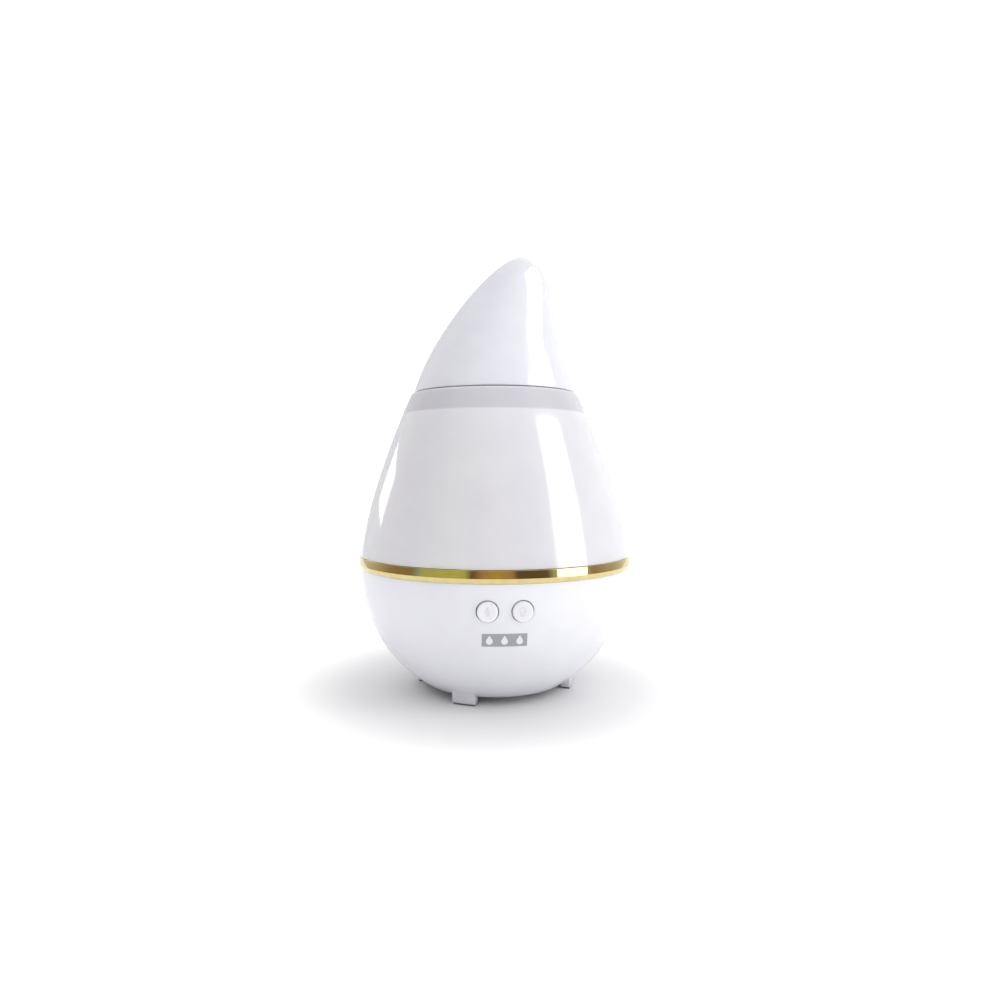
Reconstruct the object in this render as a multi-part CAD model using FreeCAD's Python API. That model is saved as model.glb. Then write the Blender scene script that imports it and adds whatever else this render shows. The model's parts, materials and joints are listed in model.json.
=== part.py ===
"""A teardrop-shaped cool mist humidifier: a round bowl with the works in it, a gold trim ring, a milky
dome that lifts off for filling, and a horn-shaped nozzle that turns on the dome's mouth.

Millimetres. Z is up, the origin is on the table under the bowl's centre, and the buttons face -Y.
Each function makes one piece in its place. The sizes that can be set by themselves come first.
"""

import FreeCAD, Part
import math
import os

V = FreeCAD.Vector
UP = V(0, 0, 1)
BACK = V(0, 1, 0)

# ---- driving sizes ----------------------------------------------------------------------------
# Bowl: a sphere cut flat at the bottom and closed by a screwed cover.
bowl_radius = 54.4
bowl_wall = 2.2
flat_radius = 28.9  # the flat ring under the bowl
floor_z = 2.9  # how far the bowl's flat stands over the table
cover_thickness = 2.0
cover_margin = 1.4  # from the cover's rim to the edge of the flat
ledge_width = 1.8
ledge_thickness = 1.4

# Feet: arc-shaped legs on the bowl, each with a soft pad.
foot_thickness = 3.7
foot_arc_deg = 17.0
foot_pattern_turn_deg = 25.6
foot_pattern_half_deg = 51.0
pad_thickness = 0.7
pad_inset = 0.35

# Trim ring, seated round the bowl's neck.
ring_proud = 0.8
ring_height = 4.6
ring_bevel_height = 1.8
ring_bevel_start = 0.1
ring_top_round = 0.3
neck_wall = 1.7
neck_height = 1.2

# Basin: a deep well under a wide shallow rim.
basin_wall = 1.8
basin_floor_thickness = 1.8
basin_floor_z = 28.0
basin_step_drop = 2.8  # from the bowl's widest line down to the underside of the step
basin_rim_height = 8.0  # from the bowl's widest line up to the rim
basin_rim_wall = 1.6
basin_rim_gap = 1.0  # to the bowl's neck
well_margin = 5.9  # from the well to the bowl's wall, at the level of the well's underside
flange_thickness = 1.0
gasket_thickness = 0.6

# Dome: a shallow arc from the trim ring to the mouth.
dome_height = 64.3
dome_wall = 2.0
dome_mouth_radius = 34.0
dome_sagitta = 1.7
dome_inset = 0.25  # the trim ring stands proud of the dome by this
dome_lift_gap = 0.3  # over the trim ring
dome_seat_gap = 0.3  # over the basin's flange
dome_edge_round = 1.2
mouth_lip_height = 2.5

# Collar and nozzle.
collar_wall = 1.0
collar_length = 8.3
swivel_clearance = 0.3
skirt_wall = 1.6
skirt_flange_thickness = 1.5
hook_count = 4
hook_arc_deg = 22.0
hook_length = 2.6
hook_bead = 0.9
nozzle_height = 56.5
nozzle_wall = 2.0
nozzle_margin = 1.0  # from the nozzle's foot to the dome's edge
nozzle_lean = 10.5  # how far the tip stands off the axis, towards +X
outlet_width = 13.0
outlet_height = 9.5
baffle_radius = 19.0
baffle_thickness = 1.2
baffle_rise = 5.5

# Buttons and their switches.
button_radius = 3.6
button_spacing = 12.0
button_drop = 9.4  # from the bowl's widest line to the buttons' axes
button_stand = 1.0
button_edge_round = 0.7
button_travel = 0.5
button_clearance = 0.3
button_flange_width = 1.0
button_flange_thickness = 1.0
icon_height = 0.15
switch_width = 6.0
switch_depth = 3.5
plunger_radius = 1.7
plunger_length = 1.6
plunger_show = 0.8
button_board_thickness = 1.2
button_boss_radius = 1.5

# Works.
board_thickness = 1.6
board_lift = 5.3  # main board over the bowl's flat
post_radius = 2.8
post_circle_margin = 3.5  # from the cover's rim to the screw circle
post_angle_deg = 50.0
cover_screw_radius = 1.25
cover_screw_length = 12.0
cover_boss_height = 1.6
fan_size = 25.0
fan_depth = 10.0
fan_lift = 7.3
fan_bore_wall = 1.0
fan_corner_inset = 3.0
fan_blade_count = 7
fan_screw_radius = 1.0
shaft_radius = 1.0
shaft_clearance = 0.05
duct_wall = 1.4
duct_floor = 1.2
column_width = 18.0
column_depth = 8.4
column_wall = 1.4
cap_wall = 1.3
cap_height = 8.0
transducer_radius = 10.0
transducer_thickness = 1.2
transducer_lip = 1.4  # how far the gasket laps over the disc
gasket_wall = 2.3
clamp_radius = 15.5
clamp_thickness = 1.2
clamp_drop = 3.2  # from the basin's underside to the clamp's top
clamp_screw_circle = 16.9
clamp_screw_radius = 1.0
led_count = 8
led_board_thickness = 1.2
led_board_width = 5.2
jack_width = 9.0
jack_length = 14.0
jack_height = 11.0
jack_axis_height = 6.5
jack_bore_radius = 3.0
jack_bore_depth = 10.0
jack_pin_radius = 1.0
jack_pin_length = 9.0
jack_recess_radius = 5.4
jack_recess_wall = 1.5
jack_recess_floor = 1.2
jack_place_y = 34.0
lead_radius = 0.6
fit_gap = 0.03  # between pieces that are pressed or screwed together
air_gap = 0.3  # between pieces that must not touch


# ---- sizes that follow ------------------------------------------------------------------------
bowl_inner = bowl_radius - bowl_wall
waist_z = floor_z + math.sqrt(bowl_radius**2 - flat_radius**2)  # the bowl's widest line


def bowl_r(z, radius=bowl_radius):
    """Radius of the bowl's outer surface, or of its inner one, at a height."""
    return math.sqrt(radius**2 - (waist_z - z) ** 2)


cover_radius = flat_radius - cover_margin
cover_top = floor_z + cover_thickness
ledge_top = cover_top + ledge_thickness
foot_inner = cover_radius + 0.4
foot_outer = foot_inner + foot_thickness

neck_outer = bowl_inner + neck_wall
neck_top = waist_z + neck_height
ring_inner = neck_outer + 0.1
ring_outer = bowl_radius + ring_proud
ring_top = waist_z + ring_height

flange_bottom = neck_top + gasket_thickness
flange_top = flange_bottom + flange_thickness
rim_outer = bowl_inner - basin_rim_gap
rim_inner = rim_outer - basin_rim_wall
rim_top = waist_z + basin_rim_height
step_bottom = waist_z - basin_step_drop
step_top = step_bottom + basin_wall
basin_under = basin_floor_z - basin_floor_thickness

button_z = waist_z - button_drop
button_x = button_spacing / 2
button_hole = button_radius + button_clearance
button_flange = button_hole + button_flange_width
button_surface_y = math.sqrt(bowl_r(button_z) ** 2 - button_x**2)
button_front_y = -(button_surface_y + button_stand)
button_shelf_y = -(
    math.sqrt(
        bowl_inner**2
        - (button_drop + button_flange) ** 2
        - (button_x + button_flange) ** 2
    )
    - air_gap
)
button_back_y = button_shelf_y + button_flange_thickness
switch_front_y = button_back_y + 0.1 + plunger_show
button_board_front_y = switch_front_y + switch_depth
button_board_back_y = button_board_front_y + button_board_thickness

button_boss_x = button_x + button_flange + 0.5
button_boss_z = button_z - 4.4
button_board_low = button_boss_z - button_boss_radius - 0.2

well_outer = min(-button_board_back_y - 1.15, bowl_r(basin_under, bowl_inner) - well_margin)
well_inner = well_outer - basin_wall

dome_bottom = ring_top + dome_lift_gap
dome_top = dome_bottom + dome_height
dome_foot_radius = ring_outer - dome_inset
collar_outer = dome_mouth_radius - 1.8
collar_inner = collar_outer - collar_wall
collar_bottom = dome_top - collar_length
skirt_outer = collar_inner - swivel_clearance
skirt_inner = skirt_outer - skirt_wall
nozzle_bottom = dome_top + swivel_clearance
nozzle_radius = dome_mouth_radius - nozzle_margin
nozzle_top = nozzle_bottom + nozzle_height

board_z = floor_z + board_lift
board_top = board_z + board_thickness
fan_bottom = floor_z + fan_lift
fan_top = fan_bottom + fan_depth
fan_x = -(
    math.sqrt((bowl_r(fan_bottom, bowl_inner) - air_gap) ** 2 - (fan_size / 2) ** 2)
    - fan_size / 2
)
fan_bore = fan_size / 2 - fan_bore_wall
fan_hole_pitch = fan_size / 2 - fan_corner_inset
fan_edge = fan_x + fan_size / 2
duct_bottom = fan_top
transducer_x = fan_edge + 2.0 + clamp_radius
clamp_top = basin_under - clamp_drop
clamp_bottom = clamp_top - clamp_thickness
disc_bottom = clamp_top + (clamp_drop - transducer_thickness) / 2
column_outer_x = -(well_inner + 0.3)
column_inner_x = column_outer_x + column_depth
column_top = rim_top - 0.5
led_board_inner = well_outer + 1.0
led_board_outer = led_board_inner + led_board_width
led_board_top = step_bottom - 1.8
jack_z = board_top + jack_axis_height
post_circle = cover_radius - post_circle_margin
cover_boss_top = cover_top + cover_boss_height


# ---- drawing helpers --------------------------------------------------------------------------
def cylinder(radius, z0, z1, x=0.0, y=0.0):
    return Part.makeCylinder(radius, z1 - z0, V(x, y, z0), UP)


def tube(inner, outer, z0, z1, x=0.0, y=0.0):
    hole = cylinder(inner, z0 - 1, z1 + 1, x, y)
    return cylinder(outer, z0, z1, x, y).cut(hole)


def block(x0, x1, y0, y1, z0, z1):
    return Part.makeBox(x1 - x0, y1 - y0, z1 - z0, V(x0, y0, z0))


def bar_y(radius, y0, y1, x, z):
    """A round bar along Y."""
    return Part.makeCylinder(radius, y1 - y0, V(x, y0, z), BACK)


def joined(pieces):
    """One solid from pieces that touch or overlap."""
    whole = pieces[0]
    for piece in pieces[1:]:
        whole = whole.fuse(piece)
    return whole.removeSplitter()


def turned(outline):
    """A solid turned about the Z axis from (radius, height) points. A point between two others with
    a third item, "arc", is the middle of an arc."""
    edges = []
    i = 0
    points = [(V(p[0], 0, p[1]), len(p) == 3) for p in outline]
    points.append(points[0])
    while i < len(points) - 1:
        start, after = points[i][0], points[i + 1]
        if after[1]:
            end = points[i + 2][0]
            edges.append(Part.Arc(start, after[0], end).toShape())
            i += 2
        else:
            edges.append(Part.LineSegment(start, after[0]).toShape())
            i += 1
    face = Part.Face(Part.Wire(edges))
    return face.revolve(V(0, 0, 0), UP, 360)


def sphere_outline(radius, z0, z1):
    """The three points of the bowl's arc between two heights."""
    zm = (z0 + z1) / 2
    return [
        (bowl_r(z0, radius), z0),
        (bowl_r(zm, radius), zm, "arc"),
        (bowl_r(z1, radius), z1),
    ]


def rounded(solid, radius, wanted):
    """The solid with the edges that wanted() picks rounded off."""
    edges = [e for e in solid.Edges if wanted(e)]
    return solid.makeFillet(radius, edges)


def circle_edge(radius, z):
    """Picks the full circle of that radius at that height."""

    def wanted(edge):
        curve = edge.Curve
        return (
            isinstance(curve, Part.Circle)
            and abs(curve.Radius - radius) < 1e-3
            and abs(curve.Center.z - z) < 1e-3
        )

    return wanted


def around(angles_deg, radius, centre=(0.0, 0.0)):
    """Points on a circle, from angles counted from +X."""
    found = []
    for angle in angles_deg:
        a = math.radians(angle)
        found.append(
            (centre[0] + radius * math.cos(a), centre[1] + radius * math.sin(a))
        )
    return found


def screw(x, y, head_z, radius, length, up=True, head=1.9, head_height=1.4):
    """A pan-head screw. Its head's flat is at head_z, and its shank runs up or down from there."""
    way = 1 if up else -1
    head_low = min(head_z, head_z - way * head_height)
    shank_low = min(head_z, head_z + way * length)
    head_part = cylinder(radius * head, head_low, head_low + head_height, x, y)
    shank = cylinder(radius, shank_low, shank_low + length, x, y)
    outer_z = head_z - way * head_height
    slot_low = min(outer_z, outer_z + way * head_height / 2)
    slots = [
        block(x - a, x + a, y - b, y + b, slot_low, slot_low + head_height / 2)
        for a, b in (
            (radius * 1.1, radius * 0.2),
            (radius * 0.2, radius * 1.1),
        )
    ]
    return joined([head_part, shank]).cut(Part.makeCompound(slots))


def lead(points, radius=lead_radius):
    """A round lead along straight runs joined by tangent arcs, each as large as its runs allow."""
    corners = [V(*p) for p in points]
    edges = []
    start = corners[0]
    for before, corner, after in zip(corners, corners[1:], corners[2:]):
        into = corner - before
        out = after - corner
        run = min(into.Length, out.Length)
        into.normalize()
        out.normalize()
        half_turn = into.getAngle(out) / 2
        reach = 0.45 * run
        arc_start = corner - into * reach
        arc_end = corner + out * reach
        bisector = out - into
        bisector.normalize()
        arc_radius = reach / math.tan(half_turn)
        middle = (
            corner + bisector * (arc_radius / math.cos(half_turn)) - bisector * arc_radius
        )
        edges.append(Part.LineSegment(start, arc_start).toShape())
        edges.append(Part.Arc(arc_start, middle, arc_end).toShape())
        start = arc_end
    edges.append(Part.LineSegment(start, corners[-1]).toShape())
    path = Part.Wire(edges)
    ring = Part.makeCircle(radius, corners[0], corners[1] - corners[0])
    return path.makePipeShell([Part.Wire([ring])], True, False)


# ---- bowl, cover and feet ---------------------------------------------------------------------
post_places = around(
    [post_angle_deg, 180 - post_angle_deg, -post_angle_deg, post_angle_deg - 180],
    post_circle,
)
foot_turns = [
    foot_pattern_turn_deg + side + offset
    for side in (0, 180)
    for offset in (-foot_pattern_half_deg, foot_pattern_half_deg)
]


def arc_block(inner, outer, z0, z1, middle_deg, arc_deg):
    """A block curved round the Z axis. Its middle is turned from -Y towards +X."""
    face = Part.Face(
        Part.makePolygon(
            [V(inner, 0, z0), V(outer, 0, z0), V(outer, 0, z1), V(inner, 0, z1), V(inner, 0, z0)]
        )
    )
    solid = face.revolve(V(0, 0, 0), UP, arc_deg)
    solid.rotate(V(0, 0, 0), UP, -90 + middle_deg - arc_deg / 2)
    return solid


def base_shell():
    outline = sphere_outline(bowl_radius, floor_z, waist_z)
    outline += [
        (neck_outer, waist_z),
        (neck_outer, neck_top),
        (bowl_inner, neck_top),
    ]
    outline += reversed(sphere_outline(bowl_inner, ledge_top, waist_z))
    outline += [
        (cover_radius - ledge_width, ledge_top),
        (cover_radius - ledge_width, cover_top),
        (cover_radius + air_gap, cover_top),
        (cover_radius + air_gap, floor_z),
    ]
    shell = turned(outline)
    notches = [
        cylinder(post_radius + air_gap, floor_z, ledge_top + 1, x, y)
        for x, y in post_places
    ]
    cavity = Part.makeSphere(bowl_inner, V(0, 0, waist_z))
    foot_top = waist_z - math.sqrt(bowl_radius**2 - foot_outer**2) + bowl_wall / 3
    legs = [
        arc_block(foot_inner, foot_outer, pad_thickness, foot_top, turn, foot_arc_deg).cut(cavity)
        for turn in foot_turns
    ]
    outer_ball = Part.makeSphere(bowl_radius, V(0, 0, waist_z))
    recess_outer = jack_recess_radius + jack_recess_wall
    sleeve = bar_y(recess_outer, jack_place_y, bowl_radius, 0, jack_z).common(outer_ball)
    recess_floor_y = jack_place_y + jack_recess_floor
    openings = [
        bar_y(jack_recess_radius, recess_floor_y, bowl_radius + 1, 0, jack_z),
        bar_y(jack_bore_radius + 0.1, jack_place_y - 1, recess_floor_y + 1, 0, jack_z),
    ]
    openings += [
        bar_y(button_hole, -bowl_radius - 2, button_shelf_y, side * button_x, button_z)
        for side in (-1, 1)
    ]
    openings += [
        bar_y(0.8 + fit_gap, button_board_front_y - 3.4, button_board_front_y + 1,
              side * button_boss_x, button_boss_z)
        for side in (-1, 1)
    ]
    bosses = [
        bar_y(button_boss_radius, -bowl_radius, button_board_front_y, side * button_boss_x,
              button_boss_z).common(outer_ball)
        for side in (-1, 1)
    ]
    solid = joined([shell.cut(Part.makeCompound(notches)), *legs, sleeve, *bosses])
    return solid.cut(Part.makeCompound(openings))


def foot_pads():
    pads = [
        arc_block(
            foot_inner + pad_inset,
            foot_outer - pad_inset,
            0,
            pad_thickness,
            turn,
            foot_arc_deg - math.degrees(2 * pad_inset / foot_outer),
        )
        for turn in foot_turns
    ]
    return Part.makeCompound(pads)


vent_slot_width = 2.0
vent_slot_pitch = 3.6
vent_radius = 11.0
board_boss_radius = 2.2
board_screw_places = around([72, 0, -90], cover_radius - ledge_width - board_boss_radius - 0.5)


def bottom_cover():
    plate = cylinder(cover_radius, floor_z, cover_top)
    bosses = [
        cylinder(post_radius, cover_top - 0.5, cover_boss_top, x, y) for x, y in post_places
    ]
    bosses += [
        cylinder(board_boss_radius, cover_top - 0.5, board_z, x, y)
        for x, y in board_screw_places
    ]
    solid = joined([plate, *bosses])
    head_radius = cover_screw_radius * 1.9 + 0.15
    cuts = [
        cylinder(head_radius, floor_z - 1, floor_z + 1.7, x, y) for x, y in post_places
    ]
    cuts += [
        cylinder(cover_screw_radius + 0.2, floor_z, cover_boss_top + 1, x, y)
        for x, y in post_places
    ]
    cuts += [
        cylinder(fan_screw_radius + fit_gap, cover_top, board_z + 1, x, y)
        for x, y in board_screw_places
    ]
    vent_x = max(fan_x, -(cover_radius - vent_radius - 2.0))
    rows = int((vent_radius - vent_slot_width / 2) / vent_slot_pitch)
    for row in range(-rows, rows + 1):
        y = row * vent_slot_pitch
        half = math.sqrt(vent_radius**2 - (abs(y) + vent_slot_width / 2) ** 2)
        slot = block(
            vent_x - half,
            vent_x + half,
            y - vent_slot_width / 2,
            y + vent_slot_width / 2,
            floor_z - 1,
            cover_top + 1,
        )
        cuts.append(slot)
    return solid.cut(Part.makeCompound(cuts))


def cover_screws():
    screws = [
        screw(x, y, floor_z + 1.7, cover_screw_radius, cover_screw_length)
        for x, y in post_places
    ]
    return Part.makeCompound(screws)


def trim_ring():
    start = bowl_radius + ring_bevel_start
    outline = [
        (ring_inner, waist_z),
        (start, waist_z),
        (ring_outer, waist_z + ring_bevel_height),
        (ring_outer, ring_top - ring_top_round),
        (ring_outer - ring_top_round, ring_top),
        (ring_inner, ring_top),
    ]
    return turned(outline)


# ---- basin and mist duct ----------------------------------------------------------------------
clamp_screw_places = around([0, 120, 240], clamp_screw_circle, (transducer_x, 0.0))
fan_hole_places = [
    (fan_x + sx * fan_hole_pitch, sy * fan_hole_pitch) for sx in (-1, 1) for sy in (-1, 1)
]


def column_block():
    """The outside of the mist duct's column, which stands in a pocket in the basin's wall."""
    half = column_width / 2
    return block(column_outer_x, column_inner_x, -half, half, basin_under, column_top)


def air_column():
    """The mist duct's column, a square pipe glued through the basin's floor."""
    half = column_width / 2 - column_wall
    return column_block().cut(
        block(
            column_outer_x + column_wall,
            column_inner_x - column_wall,
            -half,
            half,
            basin_under - 1,
            column_top + 1,
        )
    )


def basin():
    outline = [
        (0, basin_under),
        (well_outer, basin_under),
        (well_outer, step_bottom),
        (rim_outer, step_bottom),
        (rim_outer, flange_bottom),
        (neck_outer, flange_bottom),
        (neck_outer, flange_top),
        (rim_outer, flange_top),
        (rim_outer, rim_top),
        (rim_inner, rim_top),
        (rim_inner, step_top),
        (well_inner, step_top),
        (well_inner, basin_floor_z),
        (0, basin_floor_z),
    ]
    bowl = turned(outline)
    bowl = rounded(bowl, 3.0, circle_edge(well_inner, basin_floor_z))
    bowl = rounded(bowl, 1.2, circle_edge(well_inner, step_top))
    seat = transducer_radius + gasket_wall + fit_gap
    under = [tube(seat, seat + 1.8, clamp_top + 0.4, basin_under + 0.5, transducer_x)]
    under += [
        cylinder(2.3, clamp_top, basin_under + 0.5, x, y) for x, y in clamp_screw_places
    ]
    under += [
        cylinder(2.2, duct_bottom + duct_floor, basin_under + 0.5, x, y)
        for x, y in fan_hole_places
    ]
    under += [
        cylinder(post_radius, cover_boss_top, basin_under + 0.5, x, y) for x, y in post_places
    ]
    led_circle = (led_board_inner + led_board_outer) / 2
    under += [
        cylinder(1.2, led_board_top, step_bottom + 0.5, x, y)
        for x, y in around([0, 120, 240], led_circle)
    ]
    solid = joined([bowl, *under])
    cuts = [
        column_block(),
        cylinder(
            transducer_radius - transducer_lip, basin_under - 1, basin_floor_z + 1, transducer_x
        ),
    ]
    cuts += [
        cylinder(clamp_screw_radius + fit_gap, clamp_top - 1, basin_under - 0.3, x, y)
        for x, y in clamp_screw_places
    ]
    cuts += [
        cylinder(fan_screw_radius + fit_gap, duct_bottom, basin_under - 0.1, x, y)
        for x, y in fan_hole_places
    ]
    cuts += [
        cylinder(
            cover_screw_radius + fit_gap,
            cover_boss_top - 1,
            floor_z + 1.7 + cover_screw_length + 0.5,
            x,
            y,
        )
        for x, y in post_places
    ]
    return solid.cut(Part.makeCompound(cuts))


def basin_gasket():
    return tube(bowl_inner + 0.1, neck_outer - 0.1, neck_top, flange_bottom)


def duct_cap():
    """A hood on the mist duct's top, with louvres under its roof."""
    half = column_width / 2 + fit_gap
    x0, x1 = column_outer_x - fit_gap, column_inner_x + fit_gap
    z0, z1 = column_top - 3.0, column_top + cap_height - 3.0
    hood = block(x0 - cap_wall, x1 + cap_wall, -half - cap_wall, half + cap_wall, z0, z1)
    upright = [e for e in hood.Edges if abs(e.tangentAt(e.FirstParameter).z) > 0.9]
    hood = hood.makeFillet(1.2, upright)
    hood = hood.cut(block(x0, x1, -half, half, z0 - 1, z1 - cap_wall))
    louvres = []
    window_low, window_high = column_top + 0.6, z1 - cap_wall - 0.4
    for i in range(5):
        y = (i - 2) * 3.2
        louvres.append(block(x1 - 1, x1 + 3, y - 1.1, y + 1.1, window_low, window_high))
    for side in (-1, 1):
        for x in (x0 + 2.4, x0 + 5.8):
            face = side * (half + cap_wall / 2)
            louvres.append(block(x - 1, x + 1, face - 1.5, face + 1.5, window_low, window_high))
    return hood.cut(Part.makeCompound(louvres))


def air_duct():
    """A tray that carries the fan's air sideways to the foot of the duct's column."""
    half = fan_size / 2
    x0 = column_outer_x + 0.2
    x1 = fan_edge
    outer = block(x0, x1, -half, half, duct_bottom, basin_under - 0.1)
    inner = block(
        x0 + duct_wall, x1 - duct_wall, duct_wall - half, half - duct_wall,
        duct_bottom + duct_floor, basin_under,
    )
    cuts = [cylinder(fan_bore, duct_bottom - 1, duct_bottom + duct_floor + 1, fan_x)]
    cuts += [
        cylinder(fan_screw_radius + 0.15, duct_bottom - 1, duct_bottom + duct_floor + 1, x, y)
        for x, y in fan_hole_places
    ]
    tray = outer.cut(inner)
    corner_keep = [
        cylinder(2.2 + 0.05, duct_bottom + duct_floor, basin_under, x, y)
        for x, y in fan_hole_places
    ]
    return tray.cut(Part.makeCompound(cuts + corner_keep))


# ---- transducer -------------------------------------------------------------------------------
def transducer_disc():
    return cylinder(
        transducer_radius, disc_bottom, disc_bottom + transducer_thickness, transducer_x
    )


def transducer_gasket():
    ring = tube(
        transducer_radius - transducer_lip,
        transducer_radius + gasket_wall,
        clamp_top,
        basin_under,
        transducer_x,
    )
    return ring.cut(transducer_disc())


def transducer_clamp():
    ears = [cylinder(3.2, clamp_bottom, clamp_top, x, y) for x, y in clamp_screw_places]
    plate = joined([cylinder(clamp_radius, clamp_bottom, clamp_top, transducer_x), *ears])
    holes = [cylinder(transducer_radius - 2, clamp_bottom - 1, clamp_top + 1, transducer_x)]
    holes += [
        cylinder(clamp_screw_radius + 0.15, clamp_bottom - 1, clamp_top + 1, x, y)
        for x, y in clamp_screw_places
    ]
    return plate.cut(Part.makeCompound(holes))


def transducer_screws():
    screws = [
        screw(x, y, clamp_bottom, clamp_screw_radius, clamp_thickness + clamp_drop - 0.6)
        for x, y in clamp_screw_places
    ]
    return Part.makeCompound(screws)


# ---- fan --------------------------------------------------------------------------------------
hub_radius = fan_bore * 0.66
cup_wall = 1.0
fan_floor = 1.2


def fan_frame():
    half = fan_size / 2
    frame = block(fan_x - half, fan_x + half, -half, half, fan_bottom, fan_top)
    upright = [e for e in frame.Edges if abs(e.tangentAt(e.FirstParameter).z) > 0.9]
    frame = frame.makeFillet(1.5, upright)
    frame = frame.cut(cylinder(fan_bore, fan_bottom - 1, fan_top + 1, fan_x))
    struts = []
    for angle in (90, 210, 330):
        strut = block(fan_x, fan_x + fan_bore + 0.5, -0.9, 0.9, fan_bottom, fan_bottom + fan_floor)
        strut.rotate(V(fan_x, 0, 0), UP, angle)
        struts.append(strut)
    hub = cylinder(hub_radius, fan_bottom, fan_bottom + fan_floor, fan_x)
    post = cylinder(2.7, fan_bottom, fan_top - 3.2, fan_x)
    solid = joined([frame, hub, post, *struts])
    cuts = [cylinder(fan_screw_radius + 0.2, fan_bottom - 1, fan_top + 1, x, y)
            for x, y in fan_hole_places]
    cuts.append(cylinder(bearing_radius + fit_gap, fan_bottom + 0.8, fan_top, fan_x))
    return solid.cut(Part.makeCompound(cuts))


bearing_radius = 1.9


def fan_bearing():
    return tube(
        shaft_radius + shaft_clearance, bearing_radius, fan_bottom + 1.0, fan_top - 3.4, fan_x
    )


def fan_stator():
    """Four wound poles on a ring round the bearing's post."""
    low, high = fan_bottom + 2.0, fan_top - 3.6
    outer = hub_radius - cup_wall - 0.5
    pieces = [tube(2.7 + fit_gap, 3.6, low, high, fan_x)]
    for angle in (0, 90, 180, 270):
        arm = block(fan_x + 3.2, fan_x + outer - 0.6, -0.9, 0.9, low + 0.6, high - 0.6)
        arm.rotate(V(fan_x, 0, 0), UP, angle + 45)
        pieces.append(arm)
        shoe = tube(outer - 0.9, outer, low + 0.3, high - 0.3, fan_x)
        window = block(fan_x, fan_x + outer + 1, -2.0, 2.0, low, high)
        window.rotate(V(fan_x, 0, 0), UP, angle + 45)
        pieces.append(shoe.common(window))
    return joined(pieces)


def fan_rotor():
    low, high = fan_bottom + 1.7, fan_top - 0.6
    cup = cylinder(hub_radius, low, high, fan_x)
    cup = cup.cut(cylinder(hub_radius - cup_wall, low - 1, high - cup_wall, fan_x))
    boss = cylinder(shaft_radius + 1.0, fan_top - 2.8, high, fan_x)
    blades = []
    span = fan_bore - 0.5 - hub_radius
    height = high - low - 0.4
    for i in range(fan_blade_count):
        blade = block(hub_radius - 0.4, hub_radius + span + 2, -0.4, 0.4, -height, height)
        blade.rotate(V(0, 0, 0), V(1, 0, 0), 42)
        blade.rotate(V(0, 0, 0), UP, 360 * i / fan_blade_count)
        blade.translate(V(fan_x, 0, (low + high) / 2))
        blades.append(blade)
    sweep = tube(hub_radius - 0.3, hub_radius + span, low + 0.2, high - 0.2, fan_x)
    vanes = [blade.common(sweep) for blade in blades]
    solid = joined([cup, boss, *vanes])
    return solid.cut(cylinder(shaft_radius + fit_gap, fan_top - 3, fan_top - 1.0, fan_x))


def fan_shaft():
    return cylinder(shaft_radius, fan_bottom + 1.1, fan_top - 1.1, fan_x)


def fan_screws():
    length = basin_under - 0.4 - fan_bottom
    screws = [
        screw(x, y, fan_bottom, fan_screw_radius, length) for x, y in fan_hole_places
    ]
    return Part.makeCompound(screws)


# ---- boards and what is on them ---------------------------------------------------------------
board_edge_x = fan_edge + 2.6


def main_board():
    radius = bowl_r(board_z, bowl_inner) - 1.7
    disc = cylinder(radius, board_z, board_top)
    keep = block(board_edge_x, radius + 1, -radius - 1, radius + 1, board_z - 1, board_top + 1)
    board = disc.common(keep)
    holes = [
        cylinder(post_radius + air_gap, board_z - 1, board_top + 1, x, y)
        for x, y in post_places
    ]
    holes += [
        cylinder(fan_screw_radius + 0.15, board_z - 1, board_top + 1, x, y)
        for x, y in board_screw_places
    ]
    return board.cut(Part.makeCompound(holes))


def board_screws():
    screws = [
        screw(x, y, board_top, fan_screw_radius, 4.6, up=False)
        for x, y in board_screw_places
    ]
    return Part.makeCompound(screws)


def power_jack():
    half = jack_width / 2
    back = jack_place_y - jack_length
    body = block(-half, half, back, jack_place_y, board_top, board_top + jack_height)
    long_edges = [
        e
        for e in body.Edges
        if abs(e.tangentAt(e.FirstParameter).y) > 0.9 and e.CenterOfMass.z > board_top + 1
    ]
    body = body.makeFillet(1.5, long_edges)
    bore_floor = jack_place_y - jack_bore_depth
    return body.cut(bar_y(jack_bore_radius, bore_floor, jack_place_y + 1, 0, jack_z))


def jack_pin():
    start = jack_place_y - jack_bore_depth
    tip = start + jack_pin_length
    pin = bar_y(jack_pin_radius, start, tip, 0, jack_z)
    end = [
        e for e in pin.Edges if isinstance(e.Curve, Part.Circle) and e.Curve.Center.y > tip - 0.1
    ]
    return pin.makeFillet(0.4, end)


capacitors_at = [(3.0, -15.5, 3.2, 8.5), (9.0, -21.5, 3.2, 8.5), (24.5, 9.0, 2.6, 7.0)]
inductors_at = [(8.5, -11.0, 3.6, 6.5), (12.0, 11.5, 3.6, 6.5)]


def capacitors():
    cans = []
    for x, y, radius, height in capacitors_at:
        can = cylinder(radius, board_top, board_top + height, x, y)
        rims = [e for e in can.Edges if isinstance(e.Curve, Part.Circle)]
        cans.append(can.makeFillet(0.5, rims))
    return Part.makeCompound(cans)


def inductors():
    """Drum cores: a winding between two flanges."""
    drums = []
    for x, y, radius, height in inductors_at:
        z0, z1 = board_top, board_top + height
        pieces = [
            cylinder(radius, z0, z0 + 1.0, x, y),
            cylinder(radius - 0.5, z0 + 1.0, z1 - 1.0, x, y),
            cylinder(radius, z1 - 1.0, z1, x, y),
        ]
        drums.append(joined(pieces))
    return Part.makeCompound(drums)


sink_x, sink_y = 22.0, -9.0
sink_width, sink_depth, sink_height = 11.0, 6.0, 9.0


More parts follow.
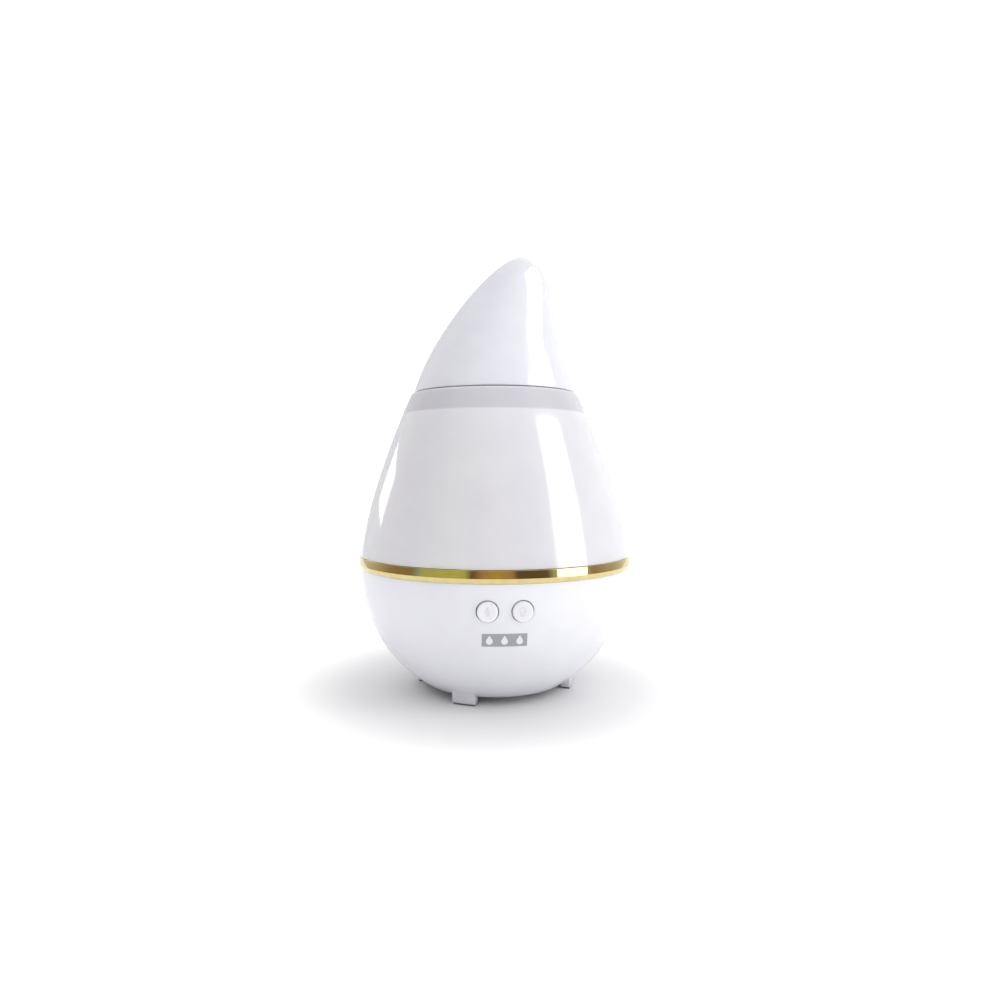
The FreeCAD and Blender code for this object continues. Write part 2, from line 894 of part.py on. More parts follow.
def heat_sink():
    x0, x1 = sink_x - sink_width / 2, sink_x + sink_width / 2
    y0, y1 = sink_y - sink_depth / 2, sink_y + sink_depth / 2
    z0, z1 = board_top, board_top + sink_height
    back = block(x0, x1, y0, y0 + 1.2, z0, z1)
    fins = [
        block(x0 + i * 2.45, x0 + i * 2.45 + 1.2, y0 + 1.0, y1, z0, z1) for i in range(5)
    ]
    return joined([back, *fins])


def power_transistor():
    y1 = sink_y - sink_depth / 2
    x0 = sink_x - 4.2
    body = block(x0, x0 + 8.4, y1 - 3.0, y1, board_top + 1.5, board_top + 8.5)
    legs = [
        block(x - 0.3, x + 0.3, y1 - 1.8, y1 - 1.2, board_top, board_top + 2.0)
        for x in (sink_x - 2.5, sink_x, sink_x + 2.5)
    ]
    return joined([body, *legs])


def control_chip():
    x, y = 4.2, 2.5
    body = block(x - 2.0, x + 2.0, y - 4.9, y + 4.9, board_top + 0.2, board_top + 1.7)
    legs = [
        block(x - 3.0, x + 3.0, y + (i - 3.5) * 1.2 - 0.2, y + (i - 3.5) * 1.2 + 0.2,
              board_top, board_top + 0.6)
        for i in range(8)
    ]
    return joined([body, *legs])


header_size = (4.0, 4.0, 5.5)
header_places = {
    "fan": (board_edge_x + 3.2, 10.0),
    "transducer": (transducer_x + 5.0, 4.5),
    "buttons": (4.6, -27.5),
    "lights": (post_places[2][0] + post_radius + 0.4 + header_size[0] / 2, post_places[2][1] - 0.6),
}


def pin_headers():
    """Small white plugs in their headers, one at the foot of each lead."""
    dx, dy, dz = (s / 2 for s in header_size)
    plugs = [
        block(x - dx, x + dx, y - dy, y + dy, board_top, board_top + 2 * dz)
        for x, y in header_places.values()
    ]
    return Part.makeCompound(plugs)


def button_board():
    half = button_boss_x + button_boss_radius + 0.2
    high = min(button_z + switch_width / 2 + 0.4, led_board_top - led_board_thickness - 0.2)
    board = block(
        -half, half, button_board_front_y, button_board_back_y, button_board_low, high
    )
    holes = [
        bar_y(0.9, button_board_front_y - 1, button_board_back_y + 1, side * button_boss_x,
              button_boss_z)
        for side in (-1, 1)
    ]
    return board.cut(Part.makeCompound(holes))


def button_board_screws():
    screws = []
    for side in (-1, 1):
        x = side * button_boss_x
        head = bar_y(1.45, button_board_back_y, button_board_back_y + 0.9, x, button_boss_z)
        shank = bar_y(0.8, button_board_front_y - 3.0, button_board_back_y, x, button_boss_z)
        slot = block(x - 1.0, x + 1.0, button_board_back_y + 0.45, button_board_back_y + 1,
                     button_boss_z - 0.2, button_boss_z + 0.2)
        screws.append(joined([head, shank]).cut(slot))
    return Part.makeCompound(screws)


def tact_switches():
    switches = []
    half = switch_width / 2
    for side in (-1, 1):
        x = side * button_x
        body = block(
            x - half, x + half, switch_front_y, button_board_front_y, button_z - half, button_z + half
        )
        well = bar_y(plunger_radius + air_gap, switch_front_y - 1,
                     switch_front_y + plunger_length - plunger_show + button_travel + air_gap,
                     x, button_z)
        switches.append(body.cut(well))
    return Part.makeCompound(switches)


def plunger(x):
    start = switch_front_y - plunger_show
    return bar_y(plunger_radius, start, start + plunger_length, x, button_z)


def button_blank(x):
    """A cap with a rounded edge, a shallow dish and a retaining flange behind the bowl's wall."""
    stem = bar_y(button_radius, button_front_y, button_shelf_y + 0.2, x, button_z)
    front = [
        e
        for e in stem.Edges
        if isinstance(e.Curve, Part.Circle) and e.Curve.Center.y < button_front_y + 0.1
    ]
    stem = stem.makeFillet(button_edge_round, front)
    flange = bar_y(button_flange, button_shelf_y, button_back_y, x, button_z)
    dish_radius = 30.0
    dish_depth = 0.12
    dish = Part.makeSphere(
        dish_radius, V(x, button_front_y + dish_depth - dish_radius, button_z)
    )
    return joined([stem, flange]).cut(dish)


icon_line = 0.32


def raised(face_wire_outer, face_wire_inner=None):
    """A raised line, cut from the sheet between two closed outlines, standing on the cap's face."""
    solid = Part.Face(face_wire_outer).extrude(V(0, icon_height + 0.4, 0))
    if face_wire_inner is not None:
        solid = solid.cut(Part.Face(face_wire_inner).extrude(V(0, icon_height + 0.4, 0)))
    return solid


def drop_outline(x, z, size, y):
    """A water drop: two tangent lines from the tip to a round belly."""
    tip = V(x, y, z + size)
    belly = size * 0.55
    middle = V(x, y, z - size * 0.25)
    reach = size * 1.25
    half = math.acos(belly / reach)
    right = middle + V(belly * math.sin(half), 0, belly * math.cos(half))
    left = middle + V(-belly * math.sin(half), 0, belly * math.cos(half))
    bottom = middle + V(0, 0, -belly)
    edges = [
        Part.LineSegment(tip, right).toShape(),
        Part.Arc(right, bottom, left).toShape(),
        Part.LineSegment(left, tip).toShape(),
    ]
    return Part.Wire(edges)


def mist_button():
    x = -button_x
    y = button_front_y + 0.12 - icon_height
    icon = raised(
        drop_outline(x, button_z, 1.5, y), drop_outline(x, button_z - 0.06, 1.5 - icon_line * 1.5, y)
    )
    return joined([button_blank(x), icon])


def light_button():
    x = button_x
    y = button_front_y + 0.12 - icon_height
    bulb_z = button_z + 0.35
    depth = icon_height + 0.4
    bulb = bar_y(1.15, y, y + depth, x, bulb_z).cut(
        bar_y(1.15 - icon_line, y - 1, y + depth + 1, x, bulb_z)
    )
    foot = [
        block(x - w, x + w, y, y + depth, bulb_z + z - 0.16, bulb_z + z + 0.16)
        for w, z in ((0.62, -1.3), (0.62, -1.75))
    ]
    return joined([button_blank(x), bulb, *foot])


def led_board():
    return tube(
        led_board_inner, led_board_outer, led_board_top - led_board_thickness, led_board_top
    )


def leds():
    chips = []
    middle = (led_board_inner + led_board_outer) / 2
    for i in range(led_count):
        chip = block(middle - 1.4, middle + 1.4, -1.75, 1.75, led_board_top, led_board_top + 1.2)
        chip.rotate(V(0, 0, 0), UP, 360 * (i + 0.5) / led_count)
        chips.append(chip)
    return Part.makeCompound(chips)


# ---- leads ------------------------------------------------------------------------------------
plug_top = board_top + header_size[2]


def fan_lead():
    x, y = header_places["fan"]
    start_z = fan_bottom + 3.3
    turn_x = (fan_edge + board_edge_x) / 2 - 0.4
    rise_z = plug_top + 3.0
    return lead(
        [
            (fan_edge, y - 2, start_z),
            (turn_x, y - 2, start_z),
            (turn_x, y - 1.4, rise_z),
            (x, y, rise_z),
            (x, y, plug_top),
        ],
        0.5,
    )


def transducer_lead():
    x, y = header_places["transducer"]
    return lead(
        [
            (transducer_x, 0, disc_bottom),
            (transducer_x, 0, disc_bottom - 3.4),
            (x, y, plug_top + 3.7),
            (x, y, plug_top),
        ]
    )


def button_lead():
    x, y = header_places["buttons"]
    board_y = (button_board_front_y + button_board_back_y) / 2
    wall_z = waist_z - math.sqrt(bowl_inner**2 - (-board_y + 2.0 + 2 * lead_radius) ** 2)
    inner_y = -(bowl_r(basin_under - 6.7, bowl_inner) - 5.4)
    return lead(
        [
            (2.0, board_y, button_board_low),
            (2.0, board_y, max(basin_under - 1.7, wall_z)),
            (3.2, inner_y, basin_under - 6.7),
            (x, y, plug_top + 3.7),
            (x, y, plug_top),
        ]
    )


def led_lead():
    x, y = header_places["lights"]
    middle = (led_board_inner + led_board_outer) / 2
    turn = math.radians(-47)
    start = (middle * math.cos(turn), middle * math.sin(turn))
    share = 0.35
    halfway = [a + (b - a) * share for a, b in zip(start, (x, y))]
    return lead(
        [
            (*start, led_board_top - led_board_thickness),
            (*start, basin_under - 0.7),
            (*halfway, basin_under - 6.7),
            (x, y, plug_top + 3.7),
            (x, y, plug_top),
        ]
    )


# ---- dome and collar --------------------------------------------------------------------------
def dome_arc():
    """Centre and radius of the dome's outer arc in the (radius, height) plane."""
    dx, dz = dome_mouth_radius - dome_foot_radius, dome_height
    chord = math.hypot(dx, dz)
    radius = (chord / 2) ** 2 / (2 * dome_sagitta) + dome_sagitta / 2
    middle_x = (dome_mouth_radius + dome_foot_radius) / 2
    middle_z = (dome_bottom + dome_top) / 2
    inward = radius - dome_sagitta
    return middle_x - inward * dz / chord, middle_z + inward * dx / chord, radius


def dome_r(z, inset=0.0):
    cx, cz, radius = dome_arc()
    return cx + math.sqrt((radius - inset) ** 2 - (z - cz) ** 2)


def dome():
    lip_z = dome_top - mouth_lip_height
    tongue_bottom = flange_top + dome_seat_gap
    tongue_inner = dome_r(tongue_bottom, dome_wall)
    tongue_outer = ring_inner - air_gap
    middle_z = (dome_bottom + dome_top) / 2
    outline = [
        (dome_r(dome_bottom), dome_bottom),
        (dome_r(middle_z), middle_z, "arc"),
        (dome_mouth_radius, dome_top),
        (collar_outer, dome_top),
        (collar_outer, lip_z),
        (dome_r(lip_z, dome_wall), lip_z),
        (dome_r(middle_z, dome_wall), middle_z, "arc"),
        (tongue_inner, tongue_bottom),
        (tongue_outer, tongue_bottom),
        (tongue_outer, dome_bottom),
    ]
    return rounded(turned(outline), dome_edge_round, circle_edge(dome_mouth_radius, dome_top))


def swivel_collar():
    return tube(collar_inner, collar_outer, collar_bottom, dome_top)


# ---- nozzle -----------------------------------------------------------------------------------
def bezier(poles, t):
    """The point at t on the Bezier curve with these (x, z) poles."""
    while len(poles) > 1:
        poles = [
            ((1 - t) * a[0] + t * b[0], (1 - t) * a[1] + t * b[1])
            for a, b in zip(poles, poles[1:])
        ]
    return poles[0]


def at_length(poles, share):
    """The point at a share of the curve's length, and the curve's direction there."""
    steps = 200
    points = [bezier(poles, i / steps) for i in range(steps + 1)]
    lengths = [0.0]
    for a, b in zip(points, points[1:]):
        lengths.append(lengths[-1] + math.dist(a, b))
    wanted = share * lengths[-1]
    i = next(n for n in range(1, steps + 1) if lengths[n] >= wanted - 1e-9)
    part = (wanted - lengths[i - 1]) / (lengths[i] - lengths[i - 1])
    a, b = points[i - 1], points[i]
    spot = (a[0] + part * (b[0] - a[0]), a[1] + part * (b[1] - a[1]))
    way = ((b[0] - a[0]) / math.dist(a, b), (b[1] - a[1]) / math.dist(a, b))
    return spot, way


def nozzle_edges():
    """Poles of the nozzle's two edges in the XZ plane: the long back and the steep, hollow front."""
    def pole(share_of_radius, share_of_height):
        return (
            share_of_radius * nozzle_radius,
            nozzle_bottom + share_of_height * nozzle_height,
        )

    tip = (nozzle_lean, nozzle_top)
    back = [pole(-1, 0), pole(-0.79, 0.44), (nozzle_lean * 0.09, nozzle_top), tip]
    front = [pole(1, 0), pole(0.72, 0.40), pole(0.73, 0.54), pole(0.80, 1), tip]
    return back, front


section_shares = [0, 0.12, 0.25, 0.38, 0.51, 0.63, 0.74, 0.83, 0.9, 0.95, 0.985]


def horn(inset):
    """The nozzle's solid form, taken in by inset all over. Each section is a circle whose diameter
    runs from the back edge to the front edge, so the sections tip over towards the lean."""
    back, front = nozzle_edges()
    wires = []
    for share in section_shares:
        (ax, az), (adx, adz) = at_length(back, share)
        (bx, bz), (bdx, bdz) = at_length(front, share)
        ax, az = ax + inset * adz, az - inset * adx
        bx, bz = bx - inset * bdz, bz + inset * bdx
        if share == 0:
            az = bz = nozzle_bottom
        radius = math.dist((ax, az), (bx, bz)) / 2
        tilt = math.degrees(math.atan2(bz - az, bx - ax))
        circle = Part.makeCircle(radius)
        circle.rotate(V(0, 0, 0), V(0, 1, 0), -tilt)
        circle.translate(V((ax + bx) / 2, 0, (az + bz) / 2))
        wires.append(Part.Wire([circle]))
    return Part.makeLoft(wires, True, False)


def nozzle_shell():
    shell = horn(0).cut(horn(nozzle_wall))
    _, front = nozzle_edges()
    (mx, mz), _ = at_length(front, 0.885)
    outlet = Part.Ellipse(V(0, 0, 0), outlet_width / 2, outlet_height / 2).toShape()
    outlet = Part.Face(Part.Wire([outlet])).extrude(V(0, 0, 16))
    outlet.rotate(V(0, 0, 0), UP, 90)
    outlet.rotate(V(0, 0, 0), V(0, 1, 0), 45)
    outlet.translate(V(mx, 0, mz) - V(1, 0, 1) * 4)
    rebate_top = nozzle_bottom + skirt_flange_thickness + fit_gap
    rebate = cylinder(skirt_outer + 0.1, nozzle_bottom - 1, rebate_top)
    return shell.cut(Part.makeCompound([outlet])).cut(rebate)


def nozzle_skirt():
    """The ring under the nozzle that turns in the collar, with hooks that catch under it."""
    bottom = collar_bottom + 0.4
    ring = tube(skirt_inner, skirt_outer, bottom, nozzle_bottom + skirt_flange_thickness)
    hooks = []
    bead_top = collar_bottom - swivel_clearance
    hook_bottom = bottom - hook_length
    for i in range(hook_count):
        turn = 360 * (i + 0.5) / hook_count
        arm = arc_block(skirt_inner, skirt_outer, hook_bottom, bottom + 0.3, turn, hook_arc_deg)
        bead = arc_block(
            skirt_outer - 0.5, collar_inner + hook_bead, hook_bottom, bead_top, turn, hook_arc_deg
        )
        hooks += [arm, bead]
    return joined([ring, *hooks])


def mist_baffle():
    """A shallow cone on three ribs that throws splashes back into the basin."""
    base = collar_bottom + 1.6
    top = base + baffle_rise
    outline = [
        (0, top - baffle_thickness),
        (baffle_radius, base - baffle_thickness),
        (baffle_radius, base),
        (0, top),
    ]
    pieces = [turned(outline)]
    outer = skirt_inner - fit_gap
    for angle in (30, 150, 270):
        rib = block(baffle_radius - 1.5, outer + 1, -0.8, 0.8, base - baffle_thickness, base + 1.2)
        rib.rotate(V(0, 0, 0), UP, angle)
        pieces.append(rib)
    return joined(pieces).common(cylinder(outer, base - 2 * baffle_thickness, top + 1))


# ---- build ------------------------------------------------------------------------------------
PIECES = {
    "base_shell": base_shell,
    "bottom_cover": bottom_cover,
    "foot_pads": foot_pads,
    "cover_screws": cover_screws,
    "trim_ring": trim_ring,
    "basin": basin,
    "air_column": air_column,
    "basin_gasket": basin_gasket,
    "duct_cap": duct_cap,
    "air_duct": air_duct,
    "transducer_disc": transducer_disc,
    "transducer_gasket": transducer_gasket,
    "transducer_clamp": transducer_clamp,
    "transducer_screws": transducer_screws,
    "fan_frame": fan_frame,
    "fan_bearing": fan_bearing,
    "fan_stator": fan_stator,
    "fan_rotor": fan_rotor,
    "fan_shaft": fan_shaft,
    "fan_screws": fan_screws,
    "main_board": main_board,
    "board_screws": board_screws,
    "power_jack": power_jack,
    "jack_pin": jack_pin,
    "capacitors": capacitors,
    "inductors": inductors,
    "heat_sink": heat_sink,
    "power_transistor": power_transistor,
    "control_chip": control_chip,
    "pin_headers": pin_headers,
    "button_board": button_board,
    "button_board_screws": button_board_screws,
    "tact_switches": tact_switches,
    "mist_plunger": lambda: plunger(-button_x),
    "light_plunger": lambda: plunger(button_x),
    "mist_button": mist_button,
    "light_button": light_button,
    "led_board": led_board,
    "leds": leds,
    "fan_lead": fan_lead,
    "transducer_lead": transducer_lead,
    "button_lead": button_lead,
    "led_lead": led_lead,
    "dome": dome,
    "swivel_collar": swivel_collar,
    "nozzle_shell": nozzle_shell,
    "nozzle_skirt": nozzle_skirt,
    "mist_baffle": mist_baffle,
}


def main():
    os.makedirs("parts", exist_ok=True)
    for name, make in PIECES.items():
        shape = make()
        solids = shape.Solids
        sound = all(s.isValid() and s.isClosed() and s.Volume > 0 for s in solids)
        print(f"{name:20s} solids {len(solids)}  volume {shape.Volume:9.1f} mm3  sound {sound}")
        shape.exportStep(f"parts/{name}.step")


main()
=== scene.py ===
# %% [markdown]
# # A cool mist humidifier, finished in Blender
#
# The imported CAD model is the fixed frame: bowl, dome, nozzle, two keys and the works inside them.
# This lesson gives every piece its finish, rebuilds the smooth outer skins as finer meshes, and
# sets up a plain white studio. The first cell loads the frame.

import json
import math

import bmesh
import bpy
from mathutils import Matrix, Vector


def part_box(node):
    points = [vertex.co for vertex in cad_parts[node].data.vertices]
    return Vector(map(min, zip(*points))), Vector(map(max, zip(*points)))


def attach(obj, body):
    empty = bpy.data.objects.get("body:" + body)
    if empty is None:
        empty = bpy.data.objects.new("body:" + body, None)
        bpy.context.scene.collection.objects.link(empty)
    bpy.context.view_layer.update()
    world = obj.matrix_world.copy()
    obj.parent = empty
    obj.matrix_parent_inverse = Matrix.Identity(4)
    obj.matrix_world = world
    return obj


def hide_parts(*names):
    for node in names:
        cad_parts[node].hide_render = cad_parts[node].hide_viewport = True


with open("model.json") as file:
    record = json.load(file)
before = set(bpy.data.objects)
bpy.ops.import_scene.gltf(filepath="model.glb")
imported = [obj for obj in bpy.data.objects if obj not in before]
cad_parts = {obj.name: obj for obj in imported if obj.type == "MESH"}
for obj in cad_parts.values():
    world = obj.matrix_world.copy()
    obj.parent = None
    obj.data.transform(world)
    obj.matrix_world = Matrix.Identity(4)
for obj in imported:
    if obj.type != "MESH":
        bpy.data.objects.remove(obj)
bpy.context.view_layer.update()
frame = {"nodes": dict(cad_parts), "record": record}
nodes = frame["nodes"]
MM = 0.001

# %% [markdown]
# A few sizes come from the CAD nodes themselves. Measuring them here keeps each new skin on the
# solid that it stands for, even if the design changes.

# %% Measure the CAD nodes
dome_low, dome_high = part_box("dome")
ring_low, ring_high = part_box("trim_ring")
nozzle_low, nozzle_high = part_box("nozzle_shell")
_, skirt_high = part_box("nozzle_skirt")
collar_low, collar_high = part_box("swivel_collar")
print(f"dome {dome_high.x / MM:.1f} mm radius, ring {ring_high.x / MM:.1f} mm radius")
print(f"nozzle {nozzle_low.z / MM:.1f} to {nozzle_high.z / MM:.1f} mm high")

# %% [markdown]
# ## Colour and node helpers
#
# Artists pick colours as sRGB hex values, while Cycles works in linear light, so one function
# converts them. A second function adds a shader node with its settings and links. It is the only
# node helper, and every finish below is a short list of calls to it.


# %% Colour and node helpers
def colour(hex_code):
    """Linear RGBA from an sRGB hex value such as '#E8E8EC'."""
    channels = [int(hex_code[i : i + 2], 16) / 255 for i in (1, 3, 5)]
    linear = [c / 12.92 if c <= 0.04045 else ((c + 0.055) / 1.055) ** 2.4 for c in channels]
    return (*linear, 1.0)


def add(tree, kind, inputs=None, **settings):
    """Adds a node. Inputs maps an input's name or number to its value, or to the output that feeds
    it. The settings are the node's own properties."""
    node = tree.nodes.new(kind)
    for key, value in settings.items():
        setattr(node, key, value)
    for key, value in (inputs or {}).items():
        if isinstance(value, bpy.types.NodeSocket):
            tree.links.new(value, node.inputs[key])
        else:
            node.inputs[key].default_value = value
    return node


def new_material(name):
    """An empty material and its node tree."""
    material = bpy.data.materials.new(name)
    material.use_nodes = True
    material.node_tree.nodes.clear()
    return material, material.node_tree


# %% [markdown]
# ## A skin that is never quite even
#
# No real surface has one colour and one gloss. Pigment drifts between two close tones, polish
# varies by a few hundredths, and there is a faint relief: slow waves where plastic shrank in the
# mould, or a fine grain. One function turns three patterns into these three inputs, so every
# finish shares it. A noise pattern's scale is the number of features to a metre, so a feature of
# a known size in millimetres has the scale 1 / (size x MM). Cycles' noise seldom leaves the range
# 0.3 to 0.7, so that is its full range here.


# %% Uneven skin
CLOUD_LOW, CLOUD_HIGH = 0.3, 0.7


def uneven_skin(tree, tone, tones, polish, gloss, relief, depth_mm, edge=None):
    """A skin's colour, roughness and normal, as inputs for its shader. Tone, polish and relief are
    the patterns that drive them, tones and gloss are the two ends of the first two, and edge is a
    normal to build on."""
    share = add(
        tree,
        "ShaderNodeMapRange",
        {"Value": tone, "From Min": CLOUD_LOW, "From Max": CLOUD_HIGH},
    )
    tint = add(
        tree,
        "ShaderNodeMix",
        {"Factor": share.outputs[0], "A": colour(tones[0]), "B": colour(tones[1])},
        data_type="RGBA",
    )
    rough = add(
        tree,
        "ShaderNodeMapRange",
        {
            "Value": polish,
            "From Min": CLOUD_LOW,
            "From Max": CLOUD_HIGH,
            "To Min": gloss[0],
            "To Max": gloss[1],
        },
    )
    shape = {"Height": relief, "Strength": 1.0, "Distance": depth_mm * MM}
    if edge is not None:
        shape["Normal"] = edge
    bump = add(tree, "ShaderNodeBump", shape)
    return {
        "Base Color": tint.outputs["Result"],
        "Roughness": rough.outputs[0],
        "Normal": bump.outputs[0],
    }


# %% [markdown]
# ## The printed mark
#
# Under the keys the bowl carries one small grey print: a plate with three water drops left bare.
# On the real bowl it is pad printed, a film of ink that is too thin to see edge on, so here it is
# a mask in the bowl's finish and not a mesh. The mask works in millimetres across and up the
# bowl's front. A drop is a round belly joined to a tapered point, and one drop is repeated three
# times by wrapping the distance across.


# %% Printed mark
MARK_HALF_WIDTH, MARK_HALF_HEIGHT = 7.8, 2.4
MARK_Z = 29.3
DROPS = 3
DROP_R, DROP_TOP, DROP_LOW = 1.15, 1.75, -0.5
DROP_TAPER = 1.6
INK = "#A3A4A8"
print(f"printed plate {2 * MARK_HALF_WIDTH:.1f} x {2 * MARK_HALF_HEIGHT:.1f} mm, {DROPS} drops")


def mark_mask(tree):
    """1 where grey ink is printed on the bowl's front."""
    place = add(tree, "ShaderNodeTexCoord")
    spot = add(
        tree,
        "ShaderNodeVectorMath",
        {0: place.outputs["Object"], "Scale": 1 / MM},
        operation="SCALE",
    )
    axis = add(tree, "ShaderNodeSeparateXYZ", {"Vector": spot.outputs[0]})
    across, depth, height = (axis.outputs[k] for k in "XYZ")
    rise = add(tree, "ShaderNodeMath", {0: height, 1: MARK_Z}, operation="SUBTRACT").outputs[0]

    drop_pitch = 2 * MARK_HALF_WIDTH / DROPS
    cell = add(
        tree,
        "ShaderNodeMath",
        {0: across, 1: drop_pitch / 2, 2: -drop_pitch / 2},
        operation="WRAP",
    )
    aside = add(tree, "ShaderNodeMath", {0: cell.outputs[0]}, operation="ABSOLUTE").outputs[0]
    above = add(tree, "ShaderNodeMath", {0: rise, 1: DROP_LOW}, operation="SUBTRACT")
    flat = add(tree, "ShaderNodeCombineXYZ", {"X": aside, "Y": above.outputs[0]})
    reach = add(tree, "ShaderNodeVectorMath", {0: flat.outputs[0]}, operation="LENGTH")
    belly = add(
        tree, "ShaderNodeMath", {0: reach.outputs["Value"], 1: DROP_R}, operation="LESS_THAN"
    )
    slope = add(
        tree, "ShaderNodeMath", {0: aside, 1: DROP_TAPER, 2: rise}, operation="MULTIPLY_ADD"
    )
    inside = add(
        tree, "ShaderNodeMath", {0: slope.outputs[0], 1: DROP_TOP}, operation="LESS_THAN"
    )
    upper = add(tree, "ShaderNodeMath", {0: rise, 1: 0.0}, operation="GREATER_THAN")
    point = add(
        tree, "ShaderNodeMath", {0: inside.outputs[0], 1: upper.outputs[0]}, operation="MULTIPLY"
    )
    drop = add(
        tree, "ShaderNodeMath", {0: belly.outputs[0], 1: point.outputs[0]}, operation="MAXIMUM"
    )

    plate = add(tree, "ShaderNodeMath", {0: depth, 1: 0.0}, operation="LESS_THAN").outputs[0]
    for distance, limit in ((across, MARK_HALF_WIDTH), (rise, MARK_HALF_HEIGHT)):
        size = add(tree, "ShaderNodeMath", {0: distance}, operation="ABSOLUTE")
        near = add(tree, "ShaderNodeMath", {0: size.outputs[0], 1: limit}, operation="LESS_THAN")
        plate = add(
            tree, "ShaderNodeMath", {0: plate, 1: near.outputs[0]}, operation="MULTIPLY"
        ).outputs[0]
    inked = add(
        tree,
        "ShaderNodeMath",
        {0: plate, 1: drop.outputs[0]},
        operation="SUBTRACT",
        use_clamp=True,
    )
    return inked.outputs[0]


# %% [markdown]
# ## Polished white ABS
#
# The bowl, the nozzle and the keys are injection-moulded ABS from a polished mould. ABS has an
# IOR of about 1.53 and takes a high gloss, so the studio's lights show as clear shapes. White
# pigment scatters light a little under the skin, which takes the hardness off small shadows such
# as the seams round the keys. The eye finds it plastic, not china, by the slow waves in its
# reflections. The cover under the bowl comes from a mould that was only blasted, so it is duller;
# its tones are a little greyer as painted shade for the feet in the bowl's shadow.


# %% Polished white ABS
SINK_WAVE_MM, SINK_DEPTH_MM = 38.0, 0.05
HAZE_MM = 9.0
BROKEN_EDGE_MM = 0.25


def polished_abs(name, tones, gloss, cloudy=0.12, cloudy_mm=1.0, printed=False):
    """Moulded ABS. Cloudy is the share of light that travels under the skin, cloudy_mm how far."""
    material, tree = new_material(name)
    place = add(tree, "ShaderNodeTexCoord").outputs["Object"]
    waves = add(
        tree,
        "ShaderNodeTexNoise",
        {"Vector": place, "Scale": 1 / (SINK_WAVE_MM * MM), "Detail": 1.0},
    ).outputs["Fac"]
    haze = add(
        tree, "ShaderNodeTexNoise", {"Vector": place, "Scale": 1 / (HAZE_MM * MM), "Detail": 3.0}
    ).outputs["Fac"]
    edge = add(tree, "ShaderNodeBevel", {"Radius": BROKEN_EDGE_MM * MM}, samples=4).outputs[0]
    skin = uneven_skin(tree, haze, tones, haze, gloss, waves, SINK_DEPTH_MM, edge)
    if printed:
        ink = add(
            tree,
            "ShaderNodeMix",
            {"Factor": mark_mask(tree), "A": skin["Base Color"], "B": colour(INK)},
            data_type="RGBA",
        )
        skin["Base Color"] = ink.outputs["Result"]
    shader = add(
        tree,
        "ShaderNodeBsdfPrincipled",
        {
            **skin,
            "IOR": 1.53,
            "Subsurface Weight": cloudy,
            "Subsurface Radius": (1.0, 0.9, 0.85),
            "Subsurface Scale": cloudy_mm * MM,
        },
    )
    add(tree, "ShaderNodeOutputMaterial", {"Surface": shader.outputs[0]})
    return material


POLISHED, HANDLED, BLASTED = (0.05, 0.09), (0.12, 0.2), (0.3, 0.4)
white_abs = polished_abs("polished_white_abs", ("#E5E6ED", "#E1E2EA"), POLISHED)
bowl_abs = polished_abs(
    "polished_white_abs_printed", ("#EAEAF0", "#E7E7ED"), POLISHED, 0.6, 2.0, printed=True
)
key_abs = polished_abs("polished_white_abs_keys", ("#EBEBF0", "#E7E7EC"), HANDLED, 0.35, 1.6)
# The cover's greyer tones are painted shade for the feet under the bowl; its duller gloss is the
# blasted mould.
cover_abs_painted_shade = polished_abs("blasted_white_abs_painted_shade", ("#D3D3D9", "#CFCFD5"), BLASTED, 0.35, 2.0)

# %% [markdown]
# ## Milky polycarbonate
#
# The dome is moulded in polycarbonate with a little white pigment: IOR 1.58, glossy outside, and
# cloudy enough that the mist inside shows only as a glow. Light that enters the wall comes back
# out a few millimetres away, which is subsurface scattering. Near its mouth the nozzle's collar
# backs the wall, and there the colour turns to a darker tone with a crisp lower edge: painted
# shade for the light that the collar shuts off from behind.


# %% Milky polycarbonate
DOME_WAVE_MM, DOME_HAZE_MM = 45.0, 12.0
DOME_GLOSS = (0.08, 0.13)
LIGHT_REACH_MM = 4.0
PAINTED_BAND_EDGE_MM = 0.35
PAINTED_BAND_TONE = "#CFCED6"


def milky_dome():
    """Polycarbonate with a little white pigment and painted shade where the collar is behind it."""
    material, tree = new_material("milky_polycarbonate_painted_band")
    place = add(tree, "ShaderNodeTexCoord").outputs["Object"]
    waves = add(
        tree,
        "ShaderNodeTexNoise",
        {"Vector": place, "Scale": 1 / (DOME_WAVE_MM * MM), "Detail": 1.0},
    ).outputs["Fac"]
    haze = add(
        tree,
        "ShaderNodeTexNoise",
        {"Vector": place, "Scale": 1 / (DOME_HAZE_MM * MM), "Detail": 3.0},
    ).outputs["Fac"]
    skin = uneven_skin(
        tree, haze, ("#EAE9F1", "#E6E5EE"), haze, DOME_GLOSS, waves, SINK_DEPTH_MM
    )
    # Painted shade: from the collar's lower edge up, the colour turns to a darker tone that stands
    # in for the light the collar shuts off from behind.
    height = add(tree, "ShaderNodeSeparateXYZ", {"Vector": place}).outputs["Z"]
    painted_shade_share = add(
        tree,
        "ShaderNodeMapRange",
        {
            "Value": height,
            "From Min": collar_low.z - PAINTED_BAND_EDGE_MM * MM,
            "From Max": collar_low.z + PAINTED_BAND_EDGE_MM * MM,
        },
    )
    painted_band = add(
        tree,
        "ShaderNodeMix",
        {"Factor": painted_shade_share.outputs[0], "A": skin["Base Color"], "B": colour(PAINTED_BAND_TONE)},
        data_type="RGBA",
    )
    skin["Base Color"] = painted_band.outputs["Result"]
    shader = add(
        tree,
        "ShaderNodeBsdfPrincipled",
        {
            **skin,
            "IOR": 1.58,
            "Subsurface Weight": 1.0,
            "Subsurface Radius": (1.0, 0.97, 0.95),
            "Subsurface Scale": LIGHT_REACH_MM * MM,
            "Coat Weight": 0.5,
        },
    )
    add(tree, "ShaderNodeOutputMaterial", {"Surface": shader.outputs[0]})
    return material


dome_plastic = milky_dome()

